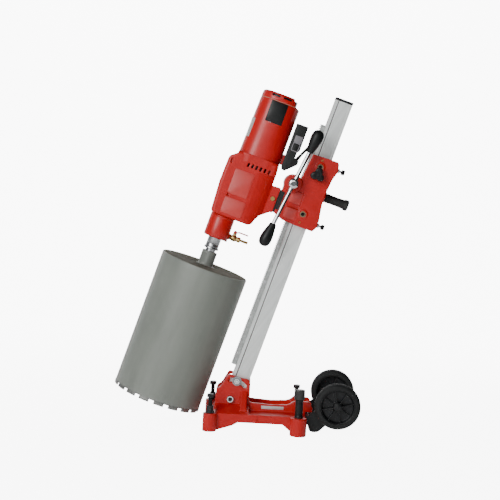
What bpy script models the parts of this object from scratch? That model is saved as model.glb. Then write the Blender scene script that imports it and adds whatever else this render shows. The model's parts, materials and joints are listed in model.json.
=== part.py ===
"""A core drill rig: a tilting mast on a cast base, with a carriage that carries the drill motor.

Units are metres and Z is up. X runs from the core bit towards the wheels. Two frames are used:
the rig frame, whose floor is Z = 0 and whose middle plane is Y = 0, and the mast frame, which
sits on the tilt pivot with its Z up along the mast and its X square to the mast, towards the
wheels. Each moving piece hangs from an empty on its joint's axis.
"""

import math

import bmesh
import bpy
from mathutils import Matrix, Vector

# --- Driving dimensions -------------------------------------------------------------------
GAP = 0.0003  # clearance between pieces that touch

# Rig frame
CENTRE_X = 0.0226  # from the rig frame to the middle of the whole object
TILT = math.radians(17.4)  # the mast's lean at rest
PIVOT_X, PIVOT_Z = -0.0406, 0.0958

BASE_FRONT, BASE_REAR, BASE_HALF = -0.1080, 0.2155, 0.1120
DECK_LOW, DECK_TOP, DECK_WALL, DECK_SKIN = 0.0300, 0.0580, 0.0120, 0.0090
BOSS_HEIGHT = 0.0600
FRONT_BOSS = (-0.1050, 0.1200, 0.0235)  # x, y either side, radius
REAR_BOSS = (0.1900, 0.1300, 0.0280)
SCREW_RADIUS = 0.0070
SCREW_TOP = 0.1240

AXLE_X, AXLE_Z, AXLE_RADIUS = 0.3165, 0.1070, 0.0060
WHEEL_RADIUS, WHEEL_INNER, WHEEL_OUTER = 0.0760, 0.1140, 0.1600
CARRIER_HALF, CARRIER_SHEET = 0.1000, 0.0060

# Mast frame
MAST_FRONT, MAST_BACK, MAST_HALF = -0.0200, 0.0400, 0.0300
MAST_LOW, MAST_TOP, MAST_WALL = -0.0220, 1.0680, 0.0050
MAST_MIDDLE = (MAST_FRONT + MAST_BACK) / 2
PLATE_THICK = 0.0150  # the tilt bracket's plates, one each side of the mast
PLATE_INNER = MAST_HALF + 0.0008
LOCK_RADIUS = 0.0650  # from the tilt pivot to the lock bolt
LOCK_BOLT_RADIUS, PIVOT_BOLT_RADIUS = 0.0070, 0.0080

MODULE, PINION_TEETH = 0.0020, 20
PITCH = math.pi * MODULE
PRESSURE_ANGLE = math.radians(20)
PINION_RADIUS = MODULE * PINION_TEETH / 2
RACK_PITCH_X = -0.0357  # the rack's pitch line
RACK_LOW, RACK_TEETH, RACK_HALF = 0.1100, 138, 0.0100
FEED_X, FEED_Z = RACK_PITCH_X - PINION_RADIUS - GAP, 0.7560
LEVER_Y = -0.1050  # the plane that the feed lever turns in
LEVER_LEAN = math.radians(6.5)  # its lean from the mast, at rest
LEVER_UP, LEVER_DOWN = 0.1950, 0.2290  # from the hub to the ends of its knobs
KNOB_LENGTH, KNOB_RADIUS, ROD_RADIUS = 0.0820, 0.0205, 0.0070

CARRIAGE_HALF, FACE_HALF = 0.0520, 0.0600
CARRIAGE_FRONT = -0.0820
GUIDE_Z = (0.8380, 0.6710)  # the two guide pads
PAD_THICK = 0.0040
LOCK_KNOB_Z = 0.8110
CLAMP_Z = (0.8480, 0.6510)
GRIP_Z, GRIP_START, GRIP_END, GRIP_RADIUS = 0.7485, 0.0583, 0.1450, 0.0165

SPINDLE_X, MOTOR_X = -0.2380, -0.1915
MOTOR_HALF, MOTOR_HALF_Y, MOTOR_CORNER = 0.0715, 0.0660, 0.0380
MOTOR_LOW, CAP_LOW, MOTOR_TOP, MOTOR_WALL = 0.7983, 0.9870, 1.0210, 0.0040
GEARBOX_HALF, ARM_HALF = 0.0640, 0.0380
IDLER_X, IDLER_Y = MOTOR_X - 0.0074, 0.0311
NOSE_RADIUS, NOSE_LOW, NOSE_TOP = 0.0420, 0.4930, 0.5720
GEAR_CASE_FLOOR = 0.5725

BIT_RADIUS, BIT_WALL, BIT_TOP, BIT_END = 0.1510, 0.0040, 0.3930, -0.0850
HUB_RADIUS, HUB_TOP = 0.0260, 0.4430
SEGMENTS, SEGMENT_HEIGHT, SEGMENT_GAP = 18, 0.0105, 0.0180

VALVE_Z, VALVE_BALL_X = 0.5120, -0.1790
BOX_FRONT, BOX_BACK, BOX_HALF = -0.1120, -0.0725, 0.0360
SWITCH_X, SWITCH_Z = -0.0900, 0.8720

CORD_RADIUS = 0.0048
COIL_CENTRE = (-0.0080, 0.0760, 0.7280)
COIL_RADIUS, COIL_TURNS_WIDE = 0.0470, 3
CORD_LEAVES = (0.382, 0.0, 0.924)  # the way out of the control box's sloping ledge
CORD_SOCKET = (-0.0715, 0.0, 0.8335)
RELIEF_LENGTH = 0.0240
CORD_ROUTE = [  # up behind the feed lever, round the column and down to the coil
    (-0.0621, 0.0000, 0.8563), (-0.0580, 0.0010, 0.8655), (-0.0525, 0.0060, 0.8770),
    (-0.0475, 0.0160, 0.8885), (-0.0430, 0.0300, 0.8975), (-0.0350, 0.0450, 0.9030),
    (-0.0210, 0.0570, 0.9010), (-0.0040, 0.0650, 0.8920), (0.0130, 0.0705, 0.8770),
    (0.0280, 0.0745, 0.8570), (0.0400, 0.0760, 0.8320), (0.0485, 0.0760, 0.8030),
    (0.0553, 0.0760, 0.7720), (0.0578, 0.0760, 0.7400),
]

# --- Collections and finishes -------------------------------------------------------------
parts = bpy.data.collections.new("core_drill_rig")
tools = bpy.data.collections.new("cutters")

FINISHES = {  # colour, roughness, metallic
    "red_paint": ((0.52, 0.02, 0.015), 0.35, 0.0),
    "aluminium": ((0.62, 0.65, 0.63), 0.35, 1.0),
    "chrome": ((0.72, 0.73, 0.74), 0.15, 1.0),
    "steel": ((0.45, 0.46, 0.47), 0.35, 1.0),
    "grey_paint": ((0.22, 0.25, 0.22), 0.45, 0.2),
    "segment": ((0.20, 0.20, 0.19), 0.60, 0.8),
    "brass": ((0.62, 0.44, 0.16), 0.30, 1.0),
    "black_plastic": ((0.02, 0.02, 0.02), 0.45, 0.0),
    "black_rubber": ((0.015, 0.015, 0.015), 0.75, 0.0),
    "black_steel": ((0.025, 0.025, 0.025), 0.50, 0.6),
    "copper": ((0.70, 0.30, 0.15), 0.35, 1.0),
}


def finish(name):
    """The material of that name, made the first time it is asked for."""
    if name in bpy.data.materials:
        return bpy.data.materials[name]
    colour, roughness, metallic = FINISHES[name]
    material = bpy.data.materials.new(name)
    material.use_nodes = True
    shader = material.node_tree.nodes["Principled BSDF"]
    shader.inputs["Base Color"].default_value = (*colour, 1.0)
    shader.inputs["Roughness"].default_value = roughness
    shader.inputs["Metallic"].default_value = metallic
    material.diffuse_color = (*colour, 1.0)
    return material


# --- Frames -------------------------------------------------------------------------------
def empty(name, place, parent=None, turn=(0.0, 0.0, 0.0)):
    """An empty to hang pieces from."""
    frame = bpy.data.objects.new(name, None)
    frame.location, frame.rotation_euler, frame.parent = place, turn, parent
    frame.empty_display_size = 0.05
    parts.objects.link(frame)
    return frame


# --- Shapes, as meshes in the frame of their parent -----------------------------------------
def mesh_of(bm):
    """A mesh from a bmesh, with its faces pointing out."""
    bmesh.ops.remove_doubles(bm, verts=bm.verts, dist=0.00001)
    bmesh.ops.recalc_face_normals(bm, faces=bm.faces)
    mesh = bpy.data.meshes.new("shape")
    bm.to_mesh(mesh)
    bm.free()
    return mesh


def along(axis, place):
    """The matrix that takes a shape along its own Z to one along an axis, at a place."""
    direction = {"X": (1, 0, 0), "Y": (0, 1, 0), "Z": (0, 0, 1)}.get(axis, axis)
    turn = Vector((0, 0, 1)).rotation_difference(Vector(direction).normalized())
    return Matrix.Translation(place) @ turn.to_matrix().to_4x4()


def block(low, high):
    """A box between two corners."""
    low, high = Vector(low), Vector(high)
    bm = bmesh.new()
    size = Matrix.Diagonal((*(high - low), 1.0))
    bmesh.ops.create_cube(bm, size=1.0, matrix=Matrix.Translation((low + high) / 2) @ size)
    return mesh_of(bm)


def rod(radius, start, end, axis="Z", centre=(0.0, 0.0), sides=20):
    """A cylinder along an axis; centre is its place on the other two axes."""
    middle = {"X": ((start + end) / 2, *centre), "Z": (*centre, (start + end) / 2)}.get(
        axis, (centre[0], (start + end) / 2, centre[1])
    )
    bm = bmesh.new()
    bmesh.ops.create_cone(
        bm, cap_ends=True, segments=sides, radius1=radius, radius2=radius,
        depth=end - start, matrix=along(axis, middle),
    )
    return mesh_of(bm)


def prism(outlines, low, high, plane="side"):
    """A flat outline, with any holes after it, made solid from low to high.

    A side outline is (x, z) and runs along Y, a plan is (x, y) along Z, and a front
    outline is (y, z) along X.
    """
    curve = bpy.data.curves.new("outline", "CURVE")
    curve.dimensions, curve.fill_mode, curve.extrude = "2D", "BOTH", (high - low) / 2
    for outline in outlines:
        spline = curve.splines.new("POLY")
        spline.points.add(len(outline) - 1)
        for point, (u, v) in zip(spline.points, outline):
            point.co = (u, v, 0.0, 1.0)
        spline.use_cyclic_u = True
    holder = bpy.data.objects.new("outline", curve)
    mesh = bpy.data.meshes.new_from_object(holder)
    bpy.data.objects.remove(holder)
    bpy.data.curves.remove(curve)
    middle = (low + high) / 2
    place = {
        "side": Matrix(((1, 0, 0, 0), (0, 0, 1, middle), (0, 1, 0, 0), (0, 0, 0, 1))),
        "plan": Matrix.Translation((0, 0, middle)),
        "front": Matrix(((0, 0, 1, middle), (1, 0, 0, 0), (0, 1, 0, 0), (0, 0, 0, 1))),
    }[plane]
    bm = bmesh.new()
    bm.from_mesh(mesh)
    bpy.data.meshes.remove(mesh)
    bmesh.ops.transform(bm, matrix=place, verts=bm.verts)
    bmesh.ops.remove_doubles(bm, verts=bm.verts, dist=0.00001)
    bmesh.ops.dissolve_limit(bm, angle_limit=0.002, verts=bm.verts, edges=bm.edges)
    return mesh_of(bm)


def both_sides(outlines, inner, outer):
    """Two prisms that mirror each other across Y = 0."""
    return joined(prism(outlines, inner, outer), prism(outlines, -outer, -inner))


def joined(*meshes):
    """Several meshes as one, each left where it is."""
    bm = bmesh.new()
    for mesh in meshes:
        bm.from_mesh(mesh)
    return mesh_of(bm)


def arc(centre, radius, start, end, steps):
    """Points along an arc, from one angle to another in degrees."""
    angles = [math.radians(start + (end - start) * i / steps) for i in range(steps + 1)]
    return [(centre[0] + radius * math.cos(a), centre[1] + radius * math.sin(a)) for a in angles]


def rounded(corners, radius, steps=3):
    """A closed outline with each corner replaced by an arc-like curve."""
    points = []
    for i, corner in enumerate(corners):
        here = Vector(corner)
        before = Vector(corners[i - 1]) - here
        after = Vector(corners[(i + 1) % len(corners)]) - here
        reach = min(radius, before.length * 0.45, after.length * 0.45)
        first, last = here + before.normalized() * reach, here + after.normalized() * reach
        for k in range(steps + 1):
            t = k / steps
            points.append(tuple((1 - t) ** 2 * first + 2 * t * (1 - t) * here + t**2 * last))
    return points


def oblong(half_x, half_y, centre=(0.0, 0.0)):
    """The four corners of a rectangle."""
    x, y = centre
    return [(x - half_x, y - half_y), (x + half_x, y - half_y),
            (x + half_x, y + half_y), (x - half_x, y + half_y)]


def gear_outline(teeth, module, slack):
    """A spur gear's outline: involute flanks drawn with three points each."""
    pitch_radius = module * teeth / 2
    base_radius = pitch_radius * math.cos(PRESSURE_ANGLE)
    radii = (pitch_radius - 1.25 * module, pitch_radius, pitch_radius + 0.95 * module)

    def half_angle(radius):
        tilt = math.acos(min(1.0, base_radius / radius))
        spread = math.tan(PRESSURE_ANGLE) - PRESSURE_ANGLE - math.tan(tilt) + tilt
        return math.pi / (2 * teeth) + spread - slack / radius

    points = []
    for i in range(teeth):
        middle = 2 * math.pi * i / teeth
        for side, row in ((-1, radii), (1, radii[::-1])):
            for radius in row:
                a = middle + side * half_angle(radius)
                points.append((radius * math.cos(a), radius * math.sin(a)))
    return points


# --- Pieces -------------------------------------------------------------------------------
def piece(name, mesh, look, frame):
    """A part of the object, hung from a frame, with its finish."""
    thing = bpy.data.objects.new(name, mesh)
    mesh.name = name
    mesh.materials.clear()
    mesh.materials.append(finish(look))
    thing.parent = frame
    parts.objects.link(thing)
    return thing


def turned(name, profile, look, frame, axis="Z", place=(0.0, 0.0, 0.0), steps=24, closed=False):
    """A turned piece. The profile of (radius, height) runs down the outside, and back up the
    inside if it is closed."""
    mesh = bpy.data.meshes.new(name)
    edges = [(i, i + 1) for i in range(len(profile) - 1)]
    if closed:
        edges.append((len(profile) - 1, 0))
    mesh.from_pydata([(r, 0.0, z) for r, z in profile], edges, [])
    thing = piece(name, mesh, look, frame)
    thing.matrix_local = along(axis, place)
    screw = thing.modifiers.new("turn", "SCREW")
    screw.steps = screw.render_steps = steps
    screw.use_merge_vertices, screw.merge_threshold = True, 0.00001
    screw.use_smooth_shade = True
    return thing


def change(thing, operation, mesh):
    """Joins a shape to a piece, or cuts it away, with a Boolean modifier."""
    tool = bpy.data.objects.new(f"{thing.name}_{operation.lower()}", mesh)
    tool.parent = thing.parent
    tool.hide_render, tool.display_type = True, "WIRE"
    tools.objects.link(tool)
    boolean = thing.modifiers.new(operation.lower(), "BOOLEAN")
    boolean.operation, boolean.object, boolean.solver = operation, tool, "EXACT"


def add(thing, mesh):
    change(thing, "UNION", mesh)


def cut(thing, mesh):
    change(thing, "DIFFERENCE", mesh)


def bevel(thing, width, segments=1, angle=35):
    """Rounds the edges that are sharper than an angle."""
    rounding = thing.modifiers.new("bevel", "BEVEL")
    rounding.width, rounding.segments = width, segments
    rounding.limit_method, rounding.angle_limit = "ANGLE", math.radians(angle)


def smooth(thing, angle=35):
    """Shades a round piece smooth, apart from its sharp edges."""
    thing.data.shade_smooth()
    thing.data.set_sharp_from_angle(angle=math.radians(angle))


# --- The base -------------------------------------------------------------------------------
def make_base(rig):
    """The casting: a hollow deck on four bosses, side ribs and the tilt bracket's plates."""
    plan = rounded([(BASE_FRONT, -BASE_HALF), (BASE_REAR, -BASE_HALF),
                    (BASE_REAR, BASE_HALF), (BASE_FRONT, BASE_HALF)], 0.020)
    base = piece("base_casting", prism([plan], DECK_LOW, DECK_TOP, "plan"), "red_paint", rig)
    cut(base, block((BASE_FRONT + DECK_WALL, DECK_WALL - BASE_HALF, 0.0),
                    (BASE_REAR - DECK_WALL, BASE_HALF - DECK_WALL, DECK_TOP - DECK_SKIN)))

    skirts = [[(-0.0950, 0.0020), (-0.0780, 0.0020), (-0.0300, 0.0180), (-0.0050, 0.0330),
               (-0.0950, 0.0330)],
              [(0.1900, 0.0020), (0.1720, 0.0020), (0.1340, 0.0330), (0.1900, 0.0330)]]
    for skirt in skirts:
        add(base, both_sides([skirt], BASE_HALF - DECK_WALL, BASE_HALF - 0.0005))
    for x, y, radius in (FRONT_BOSS, REAR_BOSS):
        add(base, joined(*(rod(radius, 0.0, BOSS_HEIGHT, "Z", (x, side * y), 18)
                           for side in (-1, 1))))

    ribs = [(0.0100, 0.0560), (0.2145, 0.0560), (0.2145, 0.0640), (0.2380, 0.0640),
            (0.2400, 0.0760), (0.2300, 0.0965), (0.2230, 0.0985), (0.1750, 0.0985),
            (0.1650, 0.0900), (0.1500, 0.0850), (0.0980, 0.0825), (0.0600, 0.0850),
            (0.0100, 0.0880)]
    add(base, both_sides([ribs], 0.0340, 0.0460))
    add(base, block((0.1670, -0.0345, 0.0560), (0.1785, 0.0345, 0.0850)))
    add(base, block((0.2250, -0.0345, 0.0660), (0.2350, 0.0345, 0.0850)))
    slope = [(PLATE_INNER + 0.0080, 0.0540), (0.1080, 0.0540), (0.1080, 0.0590), (0.0500, 0.0780),
             (PLATE_INNER + 0.0080, 0.0780)]
    for side in (-1, 1):
        add(base, prism([[(side * y, z) for y, z in slope]], -0.0880, 0.0240, "front"))

    plate = rounded([(-0.0940, 0.0550), (0.0250, 0.0550), (0.0250, 0.1560), (0.0170, 0.1650),
                     (0.0000, 0.1660), (-0.0500, 0.1800), (-0.0740, 0.1370), (-0.0860, 0.1310),
                     (-0.0905, 0.1180)], 0.006, 2)
    add(base, both_sides([plate], PLATE_INNER, PLATE_INNER + PLATE_THICK))
    gusset = [(PLATE_INNER + 0.0100, 0.0565), (0.0900, 0.0565), (0.0900, 0.0680),
              (PLATE_INNER + PLATE_THICK + 0.0020, 0.1240), (PLATE_INNER + 0.0100, 0.1240)]
    for side in (-1, 1):
        add(base, prism([[(side * y, z) for y, z in gusset]], -0.0060, 0.0160, "front"))

    cut(base, block((-0.0800, -PLATE_INNER, 0.0), (0.0300, PLATE_INNER, 0.1900)))
    slot = rounded(oblong(0.0450, 0.0090, (0.1050, 0.0)), 0.0089, 4)
    cut(base, prism([slot], 0.0, 0.0900, "plan"))
    for x, y, _ in (FRONT_BOSS, REAR_BOSS):
        cut(base, joined(*(rod(SCREW_RADIUS + GAP, -0.01, 0.09, "Z", (x, side * y), 12)
                           for side in (-1, 1))))
    cut(base, both_sides([oblong(0.0260, 0.0110, (0.0770, 0.0450))],
                         BASE_HALF - 0.0030, BASE_HALF + 0.01))

    pivot = (PIVOT_X, PIVOT_Z)
    cut(base, rod(PIVOT_BOLT_RADIUS + GAP, -0.1, 0.1, "Y", pivot, 16))
    half = LOCK_BOLT_RADIUS + 2 * GAP
    upright, laid = 90 + 2, 90 - 47  # the slot's ends, past the mast at 0 and 45 degrees
    ends = [arc(pivot, LOCK_RADIUS, a, a, 1)[0] for a in (laid, upright)]
    slot = (arc(pivot, LOCK_RADIUS + half, laid, upright, 8)[:-1]
            + arc(ends[1], half, upright, upright + 180, 5)[:-1]
            + arc(pivot, LOCK_RADIUS - half, upright, laid, 8)[:-1]
            + arc(ends[0], half, laid + 180, laid + 360, 5)[:-1])
    cut(base, prism([slot], -0.1, 0.1))

    bolt = turned("pivot_bolt", [
        (0.0, 0.0550), (0.0110, 0.0550), (0.0120, 0.0540), (0.0120, 0.0480), (0.0155, 0.0480),
        (0.0155, 0.0464), (PIVOT_BOLT_RADIUS, 0.0464), (PIVOT_BOLT_RADIUS, -0.0464),
        (0.0155, -0.0464), (0.0155, -0.0480), (0.0120, -0.0480), (0.0120, -0.0560),
        (0.0110, -0.0570), (0.0, -0.0570)], "chrome", rig, "Y", (PIVOT_X, 0.0, PIVOT_Z), 16)
    cut(bolt, rod(0.0055, -0.0600, -0.0510, "Y", pivot, 6))


def make_wheels(rig):
    """The bent sheet carrier behind the base, its axle and the two wheels."""
    side = rounded([(0.2220, 0.0310), (0.2300, 0.0080), (0.2580, 0.0080), (0.3420, 0.0900),
                    (0.3420, 0.1220), (0.3100, 0.1300), (0.2220, 0.0640)], 0.010, 2)
    carrier = piece("wheel_carrier", prism([side], -CARRIER_HALF, CARRIER_SHEET - CARRIER_HALF),
                    "black_steel", rig)
    add(carrier, prism([side], CARRIER_HALF - CARRIER_SHEET, CARRIER_HALF))
    back = BASE_REAR + GAP
    add(carrier, block((back, -CARRIER_HALF, 0.0320), (back + 0.0070, CARRIER_HALF, 0.0620)))
    cut(carrier, rod(AXLE_RADIUS + GAP, -0.15, 0.15, "Y", (AXLE_X, AXLE_Z), 16))

    end = WHEEL_OUTER + 0.0025
    turned("wheel_axle", [(0.0, end), (0.0100, end), (0.0100, end - 0.0020),
                          (AXLE_RADIUS, end - 0.0020), (AXLE_RADIUS, 0.0020 - end),
                          (0.0100, 0.0020 - end), (0.0100, -end), (0.0, -end)],
           "steel", rig, "Y", (AXLE_X, 0.0, AXLE_Z), 16)

    bore, hub, rim = AXLE_RADIUS + GAP, 0.0150, 0.0550
    for name, turn in (("left", 1), ("right", -1)):
        frame = empty(f"wheel_axis_{name}", (AXLE_X, 0.0, AXLE_Z), rig)
        outer, inner = WHEEL_OUTER, WHEEL_INNER
        profile = [(bore, outer), (hub, outer), (hub, outer - 0.0120), (rim, outer - 0.0140),
                   (0.0580, outer), (0.0680, outer), (WHEEL_RADIUS, outer - 0.0100),
                   (WHEEL_RADIUS, inner + 0.0100), (0.0680, inner), (0.0580, inner),
                   (rim, inner + 0.0140), (hub, inner + 0.0120),
                   (hub, CARRIER_HALF + 2 * GAP), (bore, CARRIER_HALF + 2 * GAP)]
        smooth(turned(f"wheel_{name}", profile, "black_rubber", frame, (0, turn, 0),
                      steps=24, closed=True))


def make_levelling(rig):
    """The four levelling screws; the one at the rear right has a ribbed cap over a sleeve."""
    tip = 0.0030
    for name, boss, side in (("front_left", FRONT_BOSS, 1), ("front_right", FRONT_BOSS, -1),
                             ("rear_left", REAR_BOSS, 1)):
        x, y = boss[0], side * boss[1]
        frame = empty(f"levelling_axis_{name}", (x, y, 0.0), rig)
        screw = turned(f"levelling_screw_{name}", [
            (0.0, SCREW_TOP), (0.0115, SCREW_TOP), (0.0120, SCREW_TOP - 0.0010),
            (0.0120, SCREW_TOP - 0.0060), (SCREW_RADIUS, SCREW_TOP - 0.0110),
            (SCREW_RADIUS, 0.0060), (0.0050, tip), (0.0, tip)], "black_steel", frame, steps=12)
        smooth(screw)
        turned(f"levelling_nut_{name}", [
            (SCREW_RADIUS + GAP, 0.0850), (0.0105, 0.0850), (0.0105, 0.0660), (0.0145, 0.0640),
            (0.0145, BOSS_HEIGHT + GAP), (SCREW_RADIUS + GAP, BOSS_HEIGHT + GAP)],
            "black_steel", rig, place=(x, y, 0.0), steps=12, closed=True)

    x, y = REAR_BOSS[0], -REAR_BOSS[1]
    frame = empty("levelling_axis_rear_right", (x, y, 0.0), rig)
    cap_low, cap_top, room = 0.1220, 0.1550, 0.1490
    turned("levelling_screw_rear_right", [
        (0.0, cap_top), (0.0155, cap_top), (0.0165, cap_top - 0.0010), (0.0180, cap_low),
        (0.0140, cap_low), (0.0140, room), (SCREW_RADIUS, room), (SCREW_RADIUS, 0.0060),
        (0.0050, tip), (0.0, tip)], "black_steel", frame, steps=14)
    turned("levelling_sleeve", [
        (SCREW_RADIUS + GAP, 0.1210), (0.0130, 0.1210), (0.0130, 0.0660), (0.0145, 0.0640),
        (0.0145, BOSS_HEIGHT + GAP), (SCREW_RADIUS + GAP, BOSS_HEIGHT + GAP)],
        "black_plastic", rig, place=(x, y, 0.0), steps=14, closed=True)


# --- The mast -------------------------------------------------------------------------------
def mast_section():
    """The extrusion's outline, with a shallow groove near each edge of its two flanks."""
    groove, depth = 0.0020, 0.0015
    near = []
    for x in (MAST_FRONT + 0.0190, MAST_BACK - 0.0120):
        near += [(x - groove, -MAST_HALF), (x - groove, depth - MAST_HALF),
                 (x + groove, depth - MAST_HALF), (x + groove, -MAST_HALF)]
    far = [(x, -y) for x, y in near[::-1]]
    edge = 0.0020
    front, back, half = MAST_FRONT, MAST_BACK, MAST_HALF
    return ([(front + edge, -half)] + near + [(back - edge, -half), (back, edge - half)]
            + [(back, half - edge), (back - edge, half)] + far
            + [(front + edge, half), (front, half - edge), (front, edge - half)])


def make_mast(mast):
    """The column with its rack and cap, and the bolt that locks its tilt."""
    hole = oblong((MAST_BACK - MAST_FRONT) / 2 - MAST_WALL, MAST_HALF - MAST_WALL,
                  (MAST_MIDDLE, 0.0))
    column = piece("mast_column", prism([mast_section(), hole], MAST_LOW, MAST_TOP, "plan"),
                   "aluminium", mast)
    cut(column, rod(PIVOT_BOLT_RADIUS + GAP, -0.1, 0.1, "Y", (0.0, 0.0), 16))
    cut(column, rod(LOCK_BOLT_RADIUS + GAP, -0.1, 0.1, "Y", (0.0, LOCK_RADIUS), 16))

    tip, root = RACK_PITCH_X - MODULE, RACK_PITCH_X + 1.25 * MODULE
    slope = math.tan(PRESSURE_ANGLE)
    outline = [(MAST_FRONT - GAP, RACK_LOW)]
    first = FEED_Z - PITCH * round((FEED_Z - RACK_LOW) / PITCH - 1)  # a gap at the pinion
    for i in range(RACK_TEETH):
        middle = first - PITCH / 2 + PITCH * i
        half_tip, half_root = PITCH / 4 - MODULE * slope, PITCH / 4 + 1.25 * MODULE * slope
        outline += [(root, middle - half_root), (tip, middle - half_tip),
                    (tip, middle + half_tip), (root, middle + half_root)]
    outline.append((MAST_FRONT - GAP, outline[-1][1]))
    outline[0] = (MAST_FRONT - GAP, outline[1][1])
    piece("mast_rack", prism([outline], -RACK_HALF, RACK_HALF), "steel", mast)

    cap = piece("mast_end_cap", block((MAST_FRONT - 0.0010, -MAST_HALF - 0.0010, MAST_TOP + GAP),
                                      (MAST_BACK + 0.0010, MAST_HALF + 0.0010, MAST_TOP + 0.0090)),
                "black_plastic", mast)
    bevel(cap, 0.0015)

    head = PLATE_INNER + PLATE_THICK + GAP
    bolt = turned("tilt_lock_bolt", [
        (0.0, head + 0.0100), (0.0110, head + 0.0100), (0.0120, head + 0.0090),
        (0.0120, head + 0.0025), (0.0160, head + 0.0025), (0.0160, head),
        (LOCK_BOLT_RADIUS, head), (LOCK_BOLT_RADIUS, -head), (0.0160, -head),
        (0.0160, -head - 0.0025), (0.0110, -head - 0.0025), (0.0110, -head - 0.0110),
        (0.0100, -head - 0.0120), (0.0, -head - 0.0120)],
        "chrome", mast, "Y", (0.0, 0.0, LOCK_RADIUS), 16)
    smooth(bolt)


# --- The carriage ---------------------------------------------------------------------------
def make_carriage(mast):
    """The casting round the column, its guide pads, adjusters and handle."""
    hub = (FEED_X, FEED_Z)
    dome = 0.0310
    rear = [(0.0600, 0.8740), (0.0660, 0.8680), (0.0710, 0.8420), (0.0630, 0.8140),
            (0.0580, 0.7630), (0.0580, 0.7340), (0.0630, 0.7020), (0.0690, 0.6680),
            (0.0670, 0.6400), (0.0590, 0.6270)]
    body = ([(-0.0270, 0.8710)] + rear
            + [(-0.0500, 0.6290), (-0.0600, 0.6340), (CARRIAGE_FRONT, 0.6420),
               (CARRIAGE_FRONT, 0.7300)]
            + arc(hub, dome, 210, 50, 8))
    casting = piece("carriage_casting", prism([body], -CARRIAGE_HALF, CARRIAGE_HALF),
                    "red_paint", mast)
    face = [(-0.0270, 0.8710)] + rear + [(-0.0080, 0.6275), (-0.0080, 0.7350), (-0.0360, 0.7450),
                                         (-0.0360, 0.7801)]
    add(casting, both_sides([face], CARRIAGE_HALF - 0.0100, FACE_HALF))
    pads = [oblong(0.0200, 0.0200, (-0.0300, z)) for z in (0.7150, 0.6585)]
    for pad in pads:
        add(casting, both_sides([pad], CARRIAGE_HALF - 0.0050, CARRIAGE_HALF + 0.0040))
    add(casting, rod(dome - 0.0010, -0.0720, 0.0595, "Y", hub, 20))

    slack = 0.0045
    cut(casting, block((MAST_FRONT - slack, -MAST_HALF - slack, 0.6),
                       (MAST_BACK + slack, MAST_HALF + GAP, 0.9)))
    cut(casting, block((RACK_PITCH_X - 0.0060, -0.0130, 0.6), (MAST_FRONT, 0.0130, 0.9)))
    cut(casting, rod(PINION_RADIUS + 0.0040, -0.0135, 0.0135, "Y", hub, 20))
    cut(casting, rod(0.0100 + GAP, -0.0800, 0.0400, "Y", hub, 14))
    cut(casting, joined(*(rod(0.0100 + GAP, -0.07, -0.03, "Y", (MAST_MIDDLE, z), 14)
                          for z in GUIDE_Z)))
    cut(casting, rod(0.0050 + GAP, -0.07, -0.03, "Y", (MAST_MIDDLE, LOCK_KNOB_Z), 12))
    cut(casting, joined(*(rod(0.0040 + GAP, 0.04, 0.08, "X", (0.0, z), 12) for z in CLAMP_Z)))

    half, tall = 0.0120, 0.0170
    inner, outer = MAST_HALF + GAP, MAST_HALF + PAD_THICK
    for name, z in zip(("upper", "lower"), GUIDE_Z):
        piece(f"guide_pad_side_{name}", block((MAST_MIDDLE - half, -outer, z - tall),
                                              (MAST_MIDDLE + half, -inner, z + tall)),
              "black_plastic", mast)
        adjuster = turned(f"guide_adjuster_{name}", [
            (0.0, 0.0620), (0.0095, 0.0620), (0.0100, 0.0615), (0.0100, outer + GAP),
            (0.0, outer + GAP)], "brass", mast, (0, -1, 0), (MAST_MIDDLE, 0.0, z), 14)
        cut(adjuster, rod(0.0048, -0.07, -0.0540, "Y", (MAST_MIDDLE, z), 6))
    for name, z in zip(("upper", "lower"), CLAMP_Z):
        piece(f"guide_pad_rear_{name}", block((MAST_BACK + GAP, -half, z - tall),
                                              (MAST_BACK + PAD_THICK, half, z + tall)),
              "black_plastic", mast)

    grip = turned("carriage_handle", [
        (0.0, GRIP_END), (0.0150, GRIP_END), (0.0185, GRIP_END - 0.0030),
        (0.0190, GRIP_END - 0.0110), (GRIP_RADIUS, GRIP_END - 0.0200),
        (0.0150, (GRIP_START + GRIP_END) / 2), (0.0140, GRIP_START + 0.0120),
        (0.0135, GRIP_START), (0.0, GRIP_START)],
        "black_rubber", mast, "X", (0.0, 0.0, GRIP_Z), 16)
    smooth(grip)


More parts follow.
